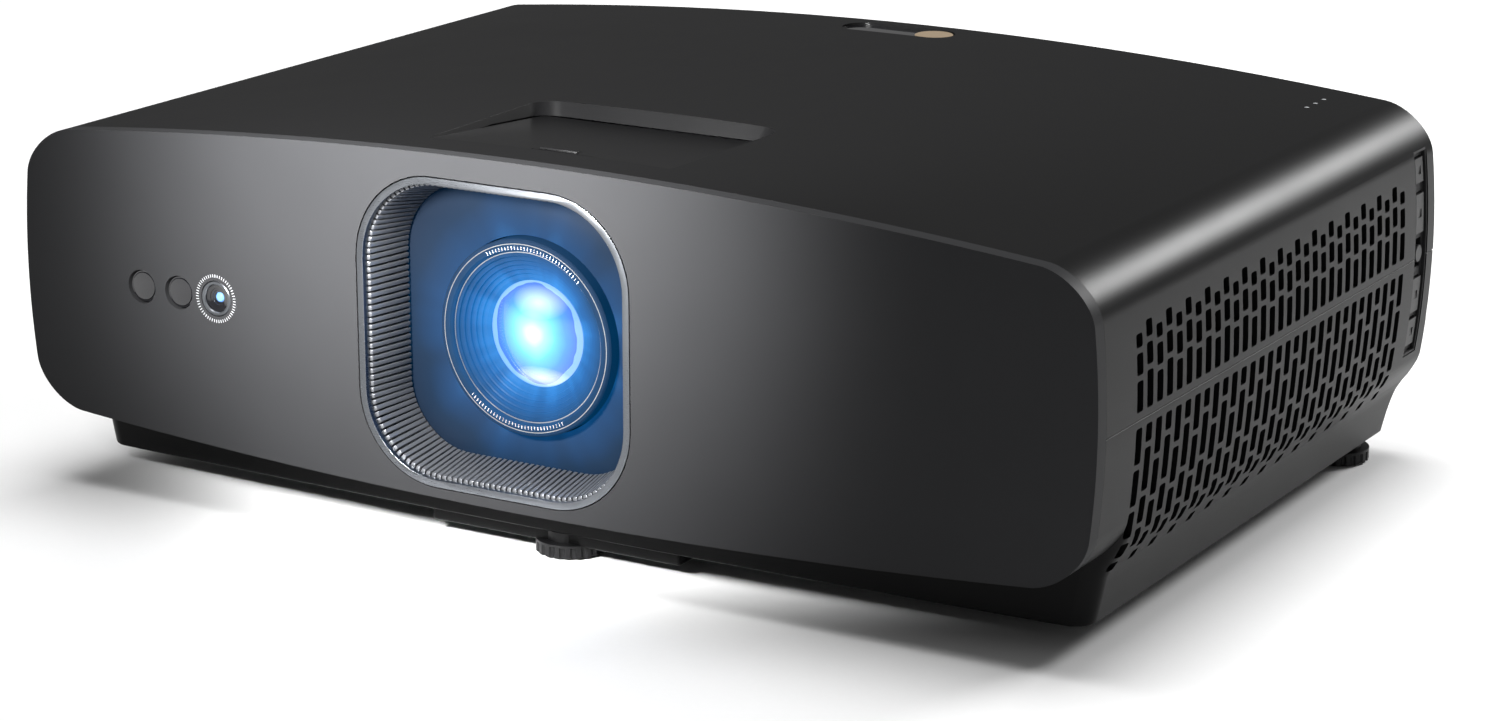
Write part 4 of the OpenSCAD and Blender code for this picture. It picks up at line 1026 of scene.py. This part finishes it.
@dataclass
class TopCover:
    """The crowned top cover, with the recess that the sliding door closes."""

    shape: Silhouette = Silhouette()
    vents: Vents = Vents()
    front: float = -135 * MM
    back: float = 141 * MM
    wall: float = 2.5 * MM
    split: float = 78.15 * MM
    door_x: float = -1.5 * MM
    door_size: Flat = (94 * MM, 68 * MM)
    door_front: float = -119.5 * MM
    door_height: float = 139.71 * MM
    door_tilt: float = math.radians(-4.04)
    door_gap: float = 0.4 * MM
    draft: float = 3.2 * MM
    mouth_round: float = 8 * MM
    pill_size: Flat = (47 * MM, 16 * MM)
    pill_centre: Flat = (-4 * MM, 127 * MM)
    pill_floor: float = 138.6 * MM
    lights: tuple[Flat, ...] = ((172 * MM, 108 * MM), (172 * MM, 116 * MM), (172 * MM, 124 * MM))
    keypad: tuple[float, float, float, float] = (122.6 * MM, 134.6 * MM, 41 * MM, 117 * MM)

    def on_slope(self, piece: Piece) -> Piece:
        """Moves a piece from its flat place at the origin to the door's slope, and returns it."""
        piece.location = (self.door_x, self.door_front, self.door_height)
        piece.rotation_euler = (self.door_tilt, 0, 0)
        return settle(piece)

    def mouth(self, grow: float, low: float, high: float) -> Piece:
        """Makes a solid of the door's recess: it widens upwards, and its rear corners are rounded.

        Args:
            grow: how much larger it is all round.
            low: the height of its floor over the door's slope.
            high: the height of its top over the slope.

        Returns:
            The solid, on the slope.
        """
        half, round_in = self.door_size[0] / 2 + self.door_gap + grow, self.mouth_round
        start, end = -self.door_gap - grow, self.door_size[1] + self.door_gap + grow
        right = [line((0, end), (half - round_in, end)),
                 round_corner((half - round_in, end), (1, 0), (0, -1), (half, end - round_in),
                              round_in * 0.55),
                 line((half, end - round_in), (half, start)), line((half, start), (0, start))]
        solid = extrude(outline("mouth", right + mirrored(right), True, level_at(low), 6), (0, 0, high - low))
        select_where(solid, lambda p: p.z > (low + high) / 2)
        bpy.ops.transform.resize(value=((half + self.draft) / half,
                                        (end - start + self.draft) / (end - start), 1),
                                 center_override=(0, start, 0))
        done()
        return self.on_slope(solid)

    def skin(self) -> Piece:
        """Builds the crowned skin down to the split line, with its thicker rim round the recess."""
        skin = self.shape.slab("top_shell", 0, self.front, self.back, 12)
        combine(skin, [self.shape.slab("inside", self.wall, self.front - 1 * MM, self.back + 1 * MM, 12),
                       block("below", (-FAR, -FAR, -FAR), (FAR, FAR, self.split))])
        rim = self.mouth(4 * MM, 0.25 * MM, 20 * MM)
        core = self.shape.slab("core", self.wall - 0.7 * MM, self.front + 2 * MM, self.back - 20 * MM, 12)
        pocket = self.pill("pill_rim", 2 * MM, self.pill_floor - 3 * MM, self.shape.height - 1.5 * MM)
        return combine(skin, [combine(rim, [core], "INTERSECT"), pocket], "UNION")

    def pill(self, name: str, grow: float, low: float, high: float) -> Piece:
        """Makes a solid of the sensor strip's pocket."""
        (width, depth), (x, y) = self.pill_size, self.pill_centre
        ring = outline(name, round_rectangle(width + 2 * grow, depth + 2 * grow, depth / 2 + grow - 0.01 * MM,
                                             (x, y)),
                       True, level_at(low), 14)
        return extrude(ring, (0, 0, high - low))

    def build(self) -> None:
        """Builds the cover."""
        cover = self.skin()
        combine(cover, [self.mouth(0, -0.5 * MM, 9 * MM),
                        self.pill("pill_pocket", 0, self.pill_floor, self.shape.height + 1 * MM)])
        soften(cover, 0.35 * MM, 2, 35)
        y0, y1, z0, z1 = self.keypad
        window = block("keypad_window", (0.19, y0, z0), (0.22, y1, z1))
        round_edges(window, lambda p: abs(p.x - 0.205) < 1 * MM, 1.2 * MM, 4)
        holes = [rod("light_hole", (x, y, 0.11), 0.03, 1.05 * MM, "Z", 24) for x, y in self.lights]
        combine(cover, [window, self.vents.cutter("upper_slots", self.vents.upper, 1),
                        join("light_holes", holes)])
        finish(even(smooth(cover)), SHELL, CASE, ["top_cover"])


@dataclass
class BottomCase:
    """The lower half of the barrel and the set-back plinth under it, with the lower vents."""

    shape: Silhouette = Silhouette()
    vents: Vents = Vents()
    front: float = -135 * MM
    back: float = 141 * MM
    wall: float = 2.5 * MM
    split: float = 77.85 * MM
    base: float = 9 * MM
    base_top: float = 52 * MM
    taper: float = 4.5 * MM
    taper_top: float = 39 * MM
    taper_height: float = 15 * MM
    plinth_front: float = -117 * MM
    plinth_bow: float = 4.3 * MM
    plinth_corner: float = 7 * MM
    rear_inset: float = 10 * MM
    rear_rise: float = 21 * MM
    settle_in: float = 0.03 * MM
    pad: tuple[float, float, float, float] = (-52 * MM, 48 * MM, -119 * MM, -75 * MM)
    pad_low: float = 4.5 * MM
    well_x: float = 180 * MM
    well_y: Flat = (-112 * MM, 88 * MM)
    well_radius: float = 3.4 * MM
    well_depth: float = 20 * MM
    mount_x: float = 100 * MM
    mount_y: Flat = (-45 * MM, 85 * MM)
    mount_radius: float = 2 * MM
    mount_depth: float = 16 * MM
    slot_count: int = 7
    slot_start: Flat = (-60 * MM, 50 * MM)
    slot_pitch: float = 8 * MM
    slot_size: Flat = (4 * MM, 40 * MM)

    def plinth_x(self, z: float, inset: float) -> float:
        """Gives the x of the plinth's side at height z."""
        part = min(1, max(0, (self.taper_top - z) / self.taper_height))
        return self.shape.side(z, inset) - self.taper * part * part * (3 - 2 * part)

    def plinth(self, inset: float) -> Piece:
        """Makes the plinth's solid: tapered sides, a bowed front, rounded front corners and a curved rear.

        Args:
            inset: how far it lies inside the plinth's own surface.

        Returns:
            The solid, which reaches up inside the barrel.
        """
        low, high, steps = self.base + inset, self.base_top, 16
        heights = [low + (high - low) * k / steps for k in range(steps + 1)]
        side = [(self.plinth_x(z, inset), z) for z in reversed(heights)]
        section = [line((0, high), side[0]), *(line(a, b) for a, b in zip(side, side[1:])),
                   line(side[-1], (0, low))]
        solid = extrude(outline("plinth", section + mirrored(section), True, upright_at(self.front), 1),
                        (0, self.back - self.front - inset, 0))
        half, bow, width, beyond, top = 0.23, self.plinth_bow, self.shape.half_width, 0.2, 0.08
        flat = self.plinth_front + inset
        reach = graph(lambda x: flat - bow * (1 - (x / width) ** 2), lambda x: 2 * bow * x / width ** 2,
                      -half, half)
        plan = [reach, line(reach[3], (half, beyond)), line((half, beyond), (-half, beyond)),
                line((-half, beyond), reach[0])]
        front = extrude(outline("plan", plan, True, level_at(0), 16), (0, 0, top))
        y, z, rise = self.back - inset, self.base + inset, self.rear_rise
        foot, under = y - self.rear_inset, z - 0.01
        rear = [line((-beyond, under), (foot, under)), line((foot, under), (foot, z)),
                ((foot, z), (foot, z + rise / 3), (foot, z + rise * 2 / 3), (y, z + rise)),
                line((y, z + rise), (y, top)), line((y, top), (-beyond, top)),
                line((-beyond, top), (-beyond, under))]
        tail = extrude(outline("tail", rear, True, lambda a, b: (-0.25, a, b), 10), (0.5, 0, 0))
        combine(solid, [front, tail], "INTERSECT")
        round_edges(solid, lambda p: p.y < self.plinth_front + inset + 2 * MM and
                    abs(p.x) > self.plinth_x(p.z, inset) - 0.5 * MM, self.plinth_corner - inset, 8)
        if inset < 1 * MM:
            round_edges(solid, lambda p: p.z < low + 0.05 * MM, 0.8 * MM)
        return solid

    def underside(self) -> list[Piece]:
        """Makes the solids that cut the underside: screw wells, mount holes and slots."""
        both, front_y = (-1, 1), self.well_y[0]
        wells = [(side * self.well_x, y) for side in both for y in self.well_y]
        wells += [(side * self.mount_x, front_y) for side in both]
        tools = [rod("well", (x, y, 0), self.well_depth, self.well_radius, "Z", 32) for x, y in wells]
        tools += [rod("mount_hole", (side * self.mount_x, y, 0), self.mount_depth, self.mount_radius, "Z", 24)
                  for side in both for y in self.mount_y]
        (start, near), (width, depth) = self.slot_start, self.slot_size
        for left in (start + self.slot_pitch * k for k in range(self.slot_count)):
            tools.append(block("slot", (left, near, 0), (left + width, near + depth, self.mount_depth)))
        return [join("underside_cuts", tools)]

    def build(self) -> None:
        """Builds the case."""
        case = self.shape.slab("bottom_shell", 0, self.front, self.back, 12)
        combine(case, [block("above", (-FAR, -FAR, self.split), (FAR, FAR, FAR))])
        round_edges(case, lambda p: p.z > self.split - 0.05 * MM or p.y > self.back - 0.05 * MM, 0.4 * MM)
        x0, x1, y0, y1 = self.pad
        pad = soften(block("foot_pad", (x0, y0, self.pad_low), (x1, y1, self.base + 4 * MM)), 1.0 * MM, 3)
        combine(case, [self.plinth(self.settle_in), pad], "UNION")
        combine(case, [self.shape.slab("inside", self.wall, self.front - 1 * MM, self.back + 1 * MM, 12),
                       self.plinth(self.wall)])
        y0, y1, z0, z1 = TopCover.keypad
        combine(case, [block("keypad_window", (0.19, y0, z0), (0.22, y1, z1)), *self.underside(),
                       self.vents.cutter("lower_slots", self.vents.lower, -1)])
        finish(even(smooth(case)), SHELL, CASE, ["bottom_case", "vent_grilles"])


@dataclass
class RearPanel:
    """The rear panel and the case's screws."""

    def build(self) -> None:
        """Builds the pieces of the rear."""
        rework("rear_panel", PANEL, 0.4 * MM)
        rework("case_screws", STEEL, 0.2 * MM)


@dataclass
class Fascia:
    """The satin front plate with its bright chamfer, the silver trim and the sensor windows."""

    shape: Silhouette = Silhouette()
    front: float = -141 * MM
    back: float = -135 * MM
    skin: float = 2.5 * MM
    rim: float = 2.5 * MM
    chamfer: float = 0.5 * MM
    trim: Opening = Opening(108 * MM, 107 * MM, 31 * MM, (-11 * MM, 78.4 * MM))
    trim_width: float = 2.5 * MM
    trim_gap: float = 0.4 * MM
    window_x: tuple[float, float] = (-158.3 * MM, -142.0 * MM)
    camera_x: float = -125.7 * MM
    window_z: float = 78.3 * MM
    window_radius: float = 6 * MM
    mark_count: int = 52

    def plate(self) -> None:
        """Builds the plate: a chamfered slab with a hollow back, the lens opening and three round holes."""
        plate = self.shape.slab("front_plate", 0, self.front, self.back, 20)
        holes = [self.shape.slab("hollow", self.rim, self.front + self.skin, self.back + 1 * MM),
                 self.trim.grown(self.trim_gap).plug("opening", self.front - 1 * MM, self.back + 1 * MM)]
        for x in (*self.window_x, self.camera_x):
            radius = self.window_radius + (0.4 * MM if x == self.camera_x else 0)
            holes.append(rod("hole", (x, self.front - 1 * MM, self.window_z), 8 * MM, radius, "Y"))
        combine(plate, holes)
        soften(plate, self.chamfer, 2, 50)
        finish(even(smooth(plate)), GRAPHITE, CASE, ["front_fascia"])

    def trim_ring(self) -> None:
        """Builds the silver ring round the lens opening, with rounded lips."""
        ring = self.trim.plug("lens_trim", self.front, self.front + self.skin, 16)
        combine(ring, [self.trim.grown(-self.trim_width).plug("inside", self.front - 1 * MM,
                                                              self.front + 5 * MM, 16)])
        soften(ring, 0.5 * MM, 3, 50)
        finish(smooth(ring), SILVER, CASE, ["lens_bezel"])

    def windows(self) -> None:
        """Builds the two glossy sensor windows, each with a sunk edge and a domed middle."""
        z, front = self.window_z, self.front
        parts = []
        for x in self.window_x:
            radius = self.window_radius - 0.25 * MM
            profile = [(0, 0.9 * MM), (radius * 0.5, 0.95 * MM), (radius - 1.0 * MM, 1.1 * MM),
                       (radius - 0.7 * MM, 1.4 * MM),
                       (radius - 0.3 * MM, 1.3 * MM), (radius, 1.6 * MM), (radius, 2.5 * MM), (0, 2.5 * MM)]
            parts.append(spun("sensor_windows", profile, (x, front, z), (0, 1, 0), 64))
        finish(smooth(join("sensor_windows", parts)), WINDOW, CASE, ["ir_windows"])

    def camera(self) -> None:
        """Builds the small camera: a bright ring, a marked black cone and a glass eye."""
        centre = (self.camera_x, self.front, self.window_z)
        outer, inner = self.window_radius + 0.4 * MM, self.window_radius - 1.2 * MM
        ring = spun("camera_trim", [
            (inner, 3.4 * MM), (inner, 0.5 * MM), (inner + 0.3 * MM, 0.1 * MM), (outer - 0.5 * MM, 0),
            (outer - 0.1 * MM, 0.35 * MM), (outer - 0.1 * MM, 3.4 * MM), (inner, 3.4 * MM)], centre,
                    (0, 1, 0), 72)
        finish(smooth(ring), SILVER, CASE, ["camera_ring"])
        eye = spun("camera_eye_cone", [
            (1.9 * MM, 2.2 * MM), (2.6 * MM, 2.0 * MM), (2.7 * MM, 1.8 * MM), (3.4 * MM, 1.6 * MM),
            (3.5 * MM, 1.4 * MM),
            (4.3 * MM, 1.2 * MM), (inner - 0.1 * MM, 1.0 * MM), (inner - 0.1 * MM, 8 * MM), (0, 8 * MM),
            (0, 3 * MM),
            (1.9 * MM, 3 * MM), (1.9 * MM, 2.2 * MM)], centre, (0, 1, 0), 72)
        finish(smooth(eye), WINDOW, CASE, ["camera_eye"])
        glass = spun("camera_lens", [(0, 1.5 * MM), (0.9 * MM, 1.65 * MM), (1.5 * MM, 2.0 * MM),
                                     (1.8 * MM, 2.5 * MM),
                                     (1.8 * MM, 2.9 * MM), (0, 2.9 * MM)], centre, (0, 1, 0), 48)
        finish(smooth(glass), LENS, CASE)

    def camera_marks(self) -> None:
        """Builds the ring of short printed marks round the camera."""
        near, far = self.window_radius + 1.5 * MM, self.window_radius + 2.6 * MM
        seed = block("mark", (-0.13 * MM, self.front - 0.03 * MM, near),
                     (0.13 * MM, self.front + 0.05 * MM, far))
        turns = (math.tau * k / self.mark_count for k in range(self.mark_count))
        marks = ring_of(seed, (self.camera_x, self.window_z), turns)
        finish(join("camera_marks", marks), LIGHT_PIPE, CASE)

    def build(self) -> None:
        """Builds the front."""
        self.plate()
        self.trim_ring()
        self.windows()
        self.camera()
        self.camera_marks()


@dataclass
class Funnel:
    """The ribbed hood that leads from the trim in to the lens."""

    mouth: Opening = Opening(103 * MM, 102 * MM, 28.5 * MM, (-11 * MM, 78.4 * MM))
    front: float = -141 * MM
    depth: float = 21 * MM
    taper: float = 4 * MM
    wall: float = 1.4 * MM
    rib_pitch: float = 2.2 * MM
    rib_height: float = 0.9 * MM
    rib_base: float = 0.80
    rib_crest: float = 0.60
    lip: float = 2.6 * MM

    def sleeve(self) -> Piece:
        """Builds the plain tapered sleeve that the ribs stand on; it is black so that the grooves between the
        ribs read dark, a painted shade.
        """
        sleeve = self.mouth.grown(self.wall * 0.5).loop("lens_funnel_sleeve", self.front + self.lip, 14)
        edit(sleeve)
        bpy.ops.mesh.extrude_region_move(TRANSFORM_OT_translate={"value": (0, self.depth - self.lip, 0)})
        cx, cz = self.mouth.centre
        shrink = 1 - 2 * self.taper / self.mouth.width
        bpy.ops.transform.resize(value=(shrink, 1, shrink), center_override=(cx, self.front + self.depth, cz))
        bpy.ops.mesh.select_all(action="SELECT")
        bpy.ops.mesh.normals_make_consistent(inside=False)
        done()
        modify(sleeve, "SOLIDIFY", thickness=self.wall * 0.8, offset=1.0)
        return sleeve

    def rib(self) -> Piece:
        """Builds one rib: a long tapered ridge with a rounded crest, lying along Y with its crest down."""
        base, crest = self.rib_pitch * self.rib_base, self.rib_pitch * self.rib_crest
        rib = block("rib", (-base / 2, 0, -self.rib_height), (base / 2, self.depth - self.lip, 0.3 * MM))
        select_where(rib, lambda p: p.z < 0)
        bpy.ops.transform.resize(value=(crest / base, 1, 1), center_override=(0, 0, 0))
        done()
        select_where(rib, lambda p: p.z < 0 and p.y < self.depth / 2)
        bpy.ops.transform.translate(value=(0, 0.5 * MM, 0))
        done()
        return soften(rib, 0.1 * MM, 2, 20)

    def build(self) -> None:
        """Builds the sleeve and sets the ribs round it."""
        seed = self.rib()
        count = round(self.mouth.length() / self.rib_pitch)
        step = self.mouth.length() / count
        lean = math.atan2(self.taper, self.depth)
        # painted shade: the black sleeve darkens the grooves between the ribs
        finish(smooth(self.sleeve()), INNER, CASE)
        parts = []
        for index in range(count):
            place, turn = self.mouth.place_at((index + 0.5) * step)
            parts.append(duplicate(seed, Matrix.Translation((place[0], self.front + self.lip, place[2]))
                                   @ Matrix.Rotation(turn, 4, "Y") @ Matrix.Rotation(-lean, 4, "X")))
        bpy.data.objects.remove(seed)
        pick(*parts)
        bpy.ops.object.transform_apply(location=True, rotation=True, scale=True)
        finish(smooth(join("lens_funnel_ribs", parts)), RIBS, CASE, ["lens_funnel"])


@dataclass
class ProjectionLens:
    """The lens behind the funnel: its shroud, stepped front ring, lit glass and inner cell."""

    centre: Flat = (-9 * MM, 76.3 * MM)
    ring_front: float = -124 * MM
    ring_radius: float = 34 * MM
    inner_radius: float = 29.5 * MM
    glass_radius: float = 18.5 * MM
    glass_y: float = -116 * MM
    barrel_front: float = -110.5 * MM
    sleeve_radius: float = 31 * MM
    shroud_y: float = -119.5 * MM
    shroud_thickness: float = 1.2 * MM
    steps: int = 6

    def at(self, y: float) -> Point:
        """Gives the point of the lens's axis at that y."""
        return (self.centre[0], y, self.centre[1])

    def shroud(self) -> None:
        """Builds the plate behind the ring, with its round hole and rounded edges."""
        plate = Opening(102 * MM, 101 * MM, 24 * MM, (-11 * MM, 78.4 * MM)).plug(
            "shroud_plate", self.shroud_y, self.shroud_y + self.shroud_thickness)
        hole = rod("hole", self.at(self.shroud_y - 1 * MM), 4 * MM, self.ring_radius + 0.4 * MM, "Y", 96)
        soften(combine(plate, [hole]), 0.2 * MM, 2, 50)
        # painted light: the shroud glows with the lens's scattered blue light
        painted_glow_coat = PaintedGlowPlate("inner_black", self.at(0), 28 * MM, 66 * MM, 0.42)
        finish(smooth(plate), painted_glow_coat, "lens_carriage", ["lens_shroud"])

    def front_ring(self) -> None:
        """Builds the ring: a bevelled rim and steps down to the glass."""
        front = self.ring_front
        profile = [(self.sleeve_radius, self.barrel_front + 8 * MM),
                   (self.sleeve_radius, self.barrel_front - 1.9 * MM),
                   (self.ring_radius, self.barrel_front - 1.9 * MM), (self.ring_radius, front + 0.6 * MM),
                   (self.ring_radius - 0.5 * MM, front + 0.1 * MM), (self.ring_radius - 1.0 * MM, front),
                   (self.inner_radius + 0.9 * MM, front), (self.inner_radius + 0.2 * MM, front + 0.8 * MM)]
        tread = (self.inner_radius - self.glass_radius - 0.9 * MM) / self.steps
        fall = (self.glass_y - 1.4 * MM - front - 0.8 * MM) / self.steps
        for index in range(self.steps):
            radius, y = self.inner_radius - index * tread, front + 0.8 * MM + index * fall
            profile += [(radius, y + fall * 0.75), (radius - tread * 0.2, y + fall),
                        (radius - tread * 0.9, y + fall)]
        profile += [(self.glass_radius, self.glass_y - 0.5 * MM), (self.glass_radius, self.glass_y + 6 * MM),
                    (self.glass_radius - 1 * MM, self.glass_y + 6 * MM),
                    (self.glass_radius - 1 * MM, self.barrel_front + 8 * MM),
                    (self.sleeve_radius, self.barrel_front + 8 * MM)]
        ring = spun("lens_ring_steps", profile, self.at(0), (0, 1, 0), 128)
        # painted light: the ring glows with the lens's scattered blue light, brightest near the glass
        painted_glow_coat = PaintedGlowPlate("barrel_black", self.at(0), 17 * MM, 42 * MM, 1.0, 3.0, 0.75, 0.32)
        finish(smooth(ring, math.radians(25)), painted_glow_coat, "focus_group", ["lens_front_ring"])

    def circles(self) -> None:
        """Builds the two fine bright circles on the rim."""
        parts = []
        for radius, y in ((self.ring_radius - 1.6 * MM, self.ring_front),
                          (self.inner_radius - 0.2 * MM, self.ring_front + 1.6 * MM)):
            parts.append(spun("circle", [(radius - 0.14 * MM, y + 0.3 * MM),
                                         (radius - 0.14 * MM, y - 0.05 * MM),
                                         (radius + 0.14 * MM, y - 0.05 * MM),
                                         (radius + 0.14 * MM, y + 0.3 * MM),
                                         (radius - 0.14 * MM, y + 0.3 * MM)], self.at(0), (0, 1, 0), 128))
        finish(smooth(join("lens_ring_circles", parts)), STEEL, "focus_group")

    def marks(self) -> None:
        """Builds the printed graduations on the rim, in an arc over the lens and one under it."""
        radius, face = (self.ring_radius - 1.6 * MM + self.inner_radius) / 2, self.ring_front
        seed = block("mark", (-0.11 * MM, face - 0.03 * MM, radius - 0.6 * MM),
                     (0.11 * MM, face + 0.05 * MM, radius + 0.6 * MM))
        middle = math.radians(8)
        turns = [side + math.radians(2.4 * step) for side in (middle, math.pi + middle) for step in range(-15,
                                                                                                          16)]
        finish(join("lens_ring_marks", ring_of(seed, self.centre, turns)), LIGHT_PIPE, "focus_group")

    def glass(self) -> None:
        """Builds the domed front glass."""
        rise = 3.2 * MM
        dome = [(self.glass_radius * k / 10, self.glass_y - rise * (1 - (k / 10) ** 2)) for k in range(11)]
        glass = spun("front_glass", [*dome, (self.glass_radius, self.glass_y + 6 * MM),
                                     (0, self.glass_y + 6 * MM)],
                     self.at(0), (0, 1, 0), 96)
        lit = LitGlass("lens_glass", self.at(0), self.glass_radius, 1.0)
        finish(smooth(glass), lit, "focus_group", ["front_lens"])

    def build(self) -> None:
        """Builds the lens."""
        self.shroud()
        self.front_ring()
        self.circles()
        self.marks()
        self.glass()
        rework("lens_barrel", BARREL, 0.3 * MM)
        rework("lens_carriage", CAST, 0.3 * MM)
        rework("focus_ring", GRIP)
        rework("zoom_ring", GRIP)
        rework("zoom_lens_cell", BARREL)


@dataclass
class TopFittings:
    """The sliding door, the sensor strip with its gold disc and the status lights."""

    cover: TopCover = field(default_factory=TopCover)
    grip_size: Point = (15 * MM, 1.3 * MM, 0.7 * MM)
    grip_inset: float = 6 * MM

    def door_grip(self) -> None:
        """Builds the low ridge near the door's front edge that a finger pushes."""
        width, depth, height = self.grip_size
        grip = block("door_grip", (-width / 2, self.grip_inset, -0.6 * MM),
                     (width / 2, self.grip_inset + depth, height))
        soften(grip, 0.4 * MM, 3, 30)
        finish(smooth(self.cover.on_slope(grip)), SHELL, BODY_OF["lens_door"])

    def build(self) -> None:
        """Builds the pieces of the top."""
        self.door_grip()
        rework("lens_door", SHELL, 0.6 * MM)
        rework("top_sensor_window", WINDOW, 0.35 * MM)
        rework("badge_disc", GOLD, 0.3 * MM)
        rework("status_lights", LIGHT_PIPE, 0.15 * MM)
        rework("height_dial", GRIP)
        rework("side_dial", GRIP)


@dataclass
class Keypad:
    """The keypad on the right side, with its bezel, keys and stick."""

    def build(self) -> None:
        """Builds the keypad."""
        rework("keypad_bezel", PANEL, 0.3 * MM)
        for key in ("power_key", "menu_key", "back_key", "source_key"):
            rework(key, KEY, 0.7 * MM)
        rework("nav_stick", KEY, 0.4 * MM)


@dataclass
class Feet:
    """The three levelling feet."""

    def build(self) -> None:
        """Builds each foot's disc and sole."""
        for side in ("front", "right", "left"):
            rework(f"{side}_foot_screw", FOOT, 0.2 * MM)
            rework(f"{side}_foot_sole", SOLE, 0.3 * MM)


@dataclass
class InnerParts:
    """Everything inside the case, and the sockets at the rear."""

    plain: tuple[str, ...] = (
        "lens_mount", "shift_rods", "shift_frame", "engine_housing", "engine_cover", "prism",
        "condenser_lenses",
        "dichroic_mirrors", "led_modules", "heat_sinks", "dmd_board", "dmd_heat_sink", "main_board",
        "rear_sockets",
        "power_inlet", "power_board", "speaker_boxes", "speaker_cones", "fan_frames", "exhaust_rotor_front",
        "exhaust_rotor_rear", "intake_rotor", "keypad_board")

    def build(self) -> None:
        """Dresses the inner pieces with the finishes of their slots."""
        for node in self.plain:
            coat = FINISHES[SLOT_OF[node]]
            piece = frame["nodes"][node]
            piece.data.materials.clear()
            piece.data.materials.append(coat.material())
            log.info("%s: dressed as %s", node, coat.slot)


# ---------------------------------------------------------------- the studio


def face(item: Piece, place: Point, aim: Point) -> None:
    """Turns a lamp or the camera that stands at a place to a point."""
    item.rotation_euler = (Vector(aim) - Vector(place)).to_track_quat("-Z", "Y").to_euler()


@dataclass(frozen=True)
class Lamp:
    """A lamp: a soft rectangle where it has a size, and else a soft-edged spot with a cone."""

    name: str
    place: Point
    aim: Point
    watts: float
    size: Flat | None = None
    cone: float = 0.0
    softness: float = 0.03
    colour: Point = (1, 1, 1)
    seen: bool = False
    glossy: bool = True

    def hang(self) -> None:
        """Adds the lamp, turned to its aim."""
        bpy.ops.object.light_add(type="AREA" if self.size else "SPOT", location=self.place)
        lamp = bpy.context.object
        lamp.name = self.name
        lamp.data.energy = self.watts
        lamp.data.color = self.colour
        if self.size:
            lamp.data.shape = "RECTANGLE"
            lamp.data.size, lamp.data.size_y = self.size
        else:
            lamp.data.spot_size = self.cone
            lamp.data.spot_blend = 1.0
            lamp.data.shadow_soft_size = self.softness
        face(lamp, self.place, self.aim)
        lamp.visible_camera = self.seen
        lamp.visible_glossy = self.glossy


@dataclass
class Studio:
    """A wide pale floor, soft lamps and the camera."""

    camera_at: Point = (0.6690, -1.1224, 0.4088)
    aim: Point = (0.0313, -0.0445, 0.0553)
    focal: float = 89.9
    sensor: float = 36.0
    clip_near: float = 0.01
    floor_side: float = 12.0
    world_light: float = 0.17
    lights: tuple[Lamp, ...] = (
        Lamp("key_lamp", (-0.15, 0.1, 2.4), (0, 0, 0), 66, (1.8, 1.4), seen=True),
        Lamp("rear_lamp", (0.85, 1.8, 1.0), (0.15, 0, 0.1), 34, (0.7, 0.4)),
        Lamp("left_lamp", (-1.8, -1.2, 1.4), (0, 0, 0.08), 2.2, (1.0, 1.0), seen=True),
        Lamp("fascia_lamp", (-0.035, -0.40, 0.22), (-0.035, -0.141, 0.142), 38, cone=math.radians(64)),
        Lamp("lens_lamp", (-0.009, -0.134, 0.0763), (-0.009, -0.1, 0.0763), 0.03, (0.03, 0.03),
             colour=(0.1, 0.45, 1.0), glossy=False))

    def floor(self) -> None:
        """Builds the wide pale floor."""
        bpy.ops.mesh.primitive_plane_add(size=1, location=(0, 0, 0))
        floor = named("studio_floor")
        floor.scale = (self.floor_side, self.floor_side, 1)
        settle(floor)
        coat = Finish("studio", (0.92, 0.92, 0.92), 0.6, grain_size=2, relief=0.0, variation=0.01)
        floor.data.materials.append(coat.material())

    def lamps(self) -> None:
        """Hangs the lamps and lights the world."""
        for lamp in self.lights:
            lamp.hang()
        world = bpy.data.worlds.new("studio_world")
        world.use_nodes = True
        background = world.node_tree.nodes["Background"]
        background.inputs["Color"].default_value = (1, 1, 1, 1)
        background.inputs["Strength"].default_value = self.world_light
        bpy.context.scene.world = world
        bpy.context.scene.view_settings.view_transform = "Standard"

    def camera(self) -> None:
        """Sets the camera."""
        bpy.ops.object.camera_add(location=self.camera_at)
        camera = bpy.context.object
        camera.name = "main_camera"
        face(camera, self.camera_at, self.aim)
        camera.data.lens = self.focal
        camera.data.sensor_width = self.sensor
        camera.data.clip_start = self.clip_near
        bpy.context.scene.camera = camera

    def build(self) -> None:
        """Builds the studio."""
        self.floor()
        self.lamps()
        self.camera()


def main() -> None:
    """Builds the projector and its studio."""
    for group in (TopCover(), BottomCase(), RearPanel(), Fascia(), Funnel(), ProjectionLens(), TopFittings(),
                  Keypad(), Feet(), InnerParts(),
                  Studio()):
        log.info("building: %s", type(group).__name__)
        group.build()


if __name__ == "__main__":
    main()
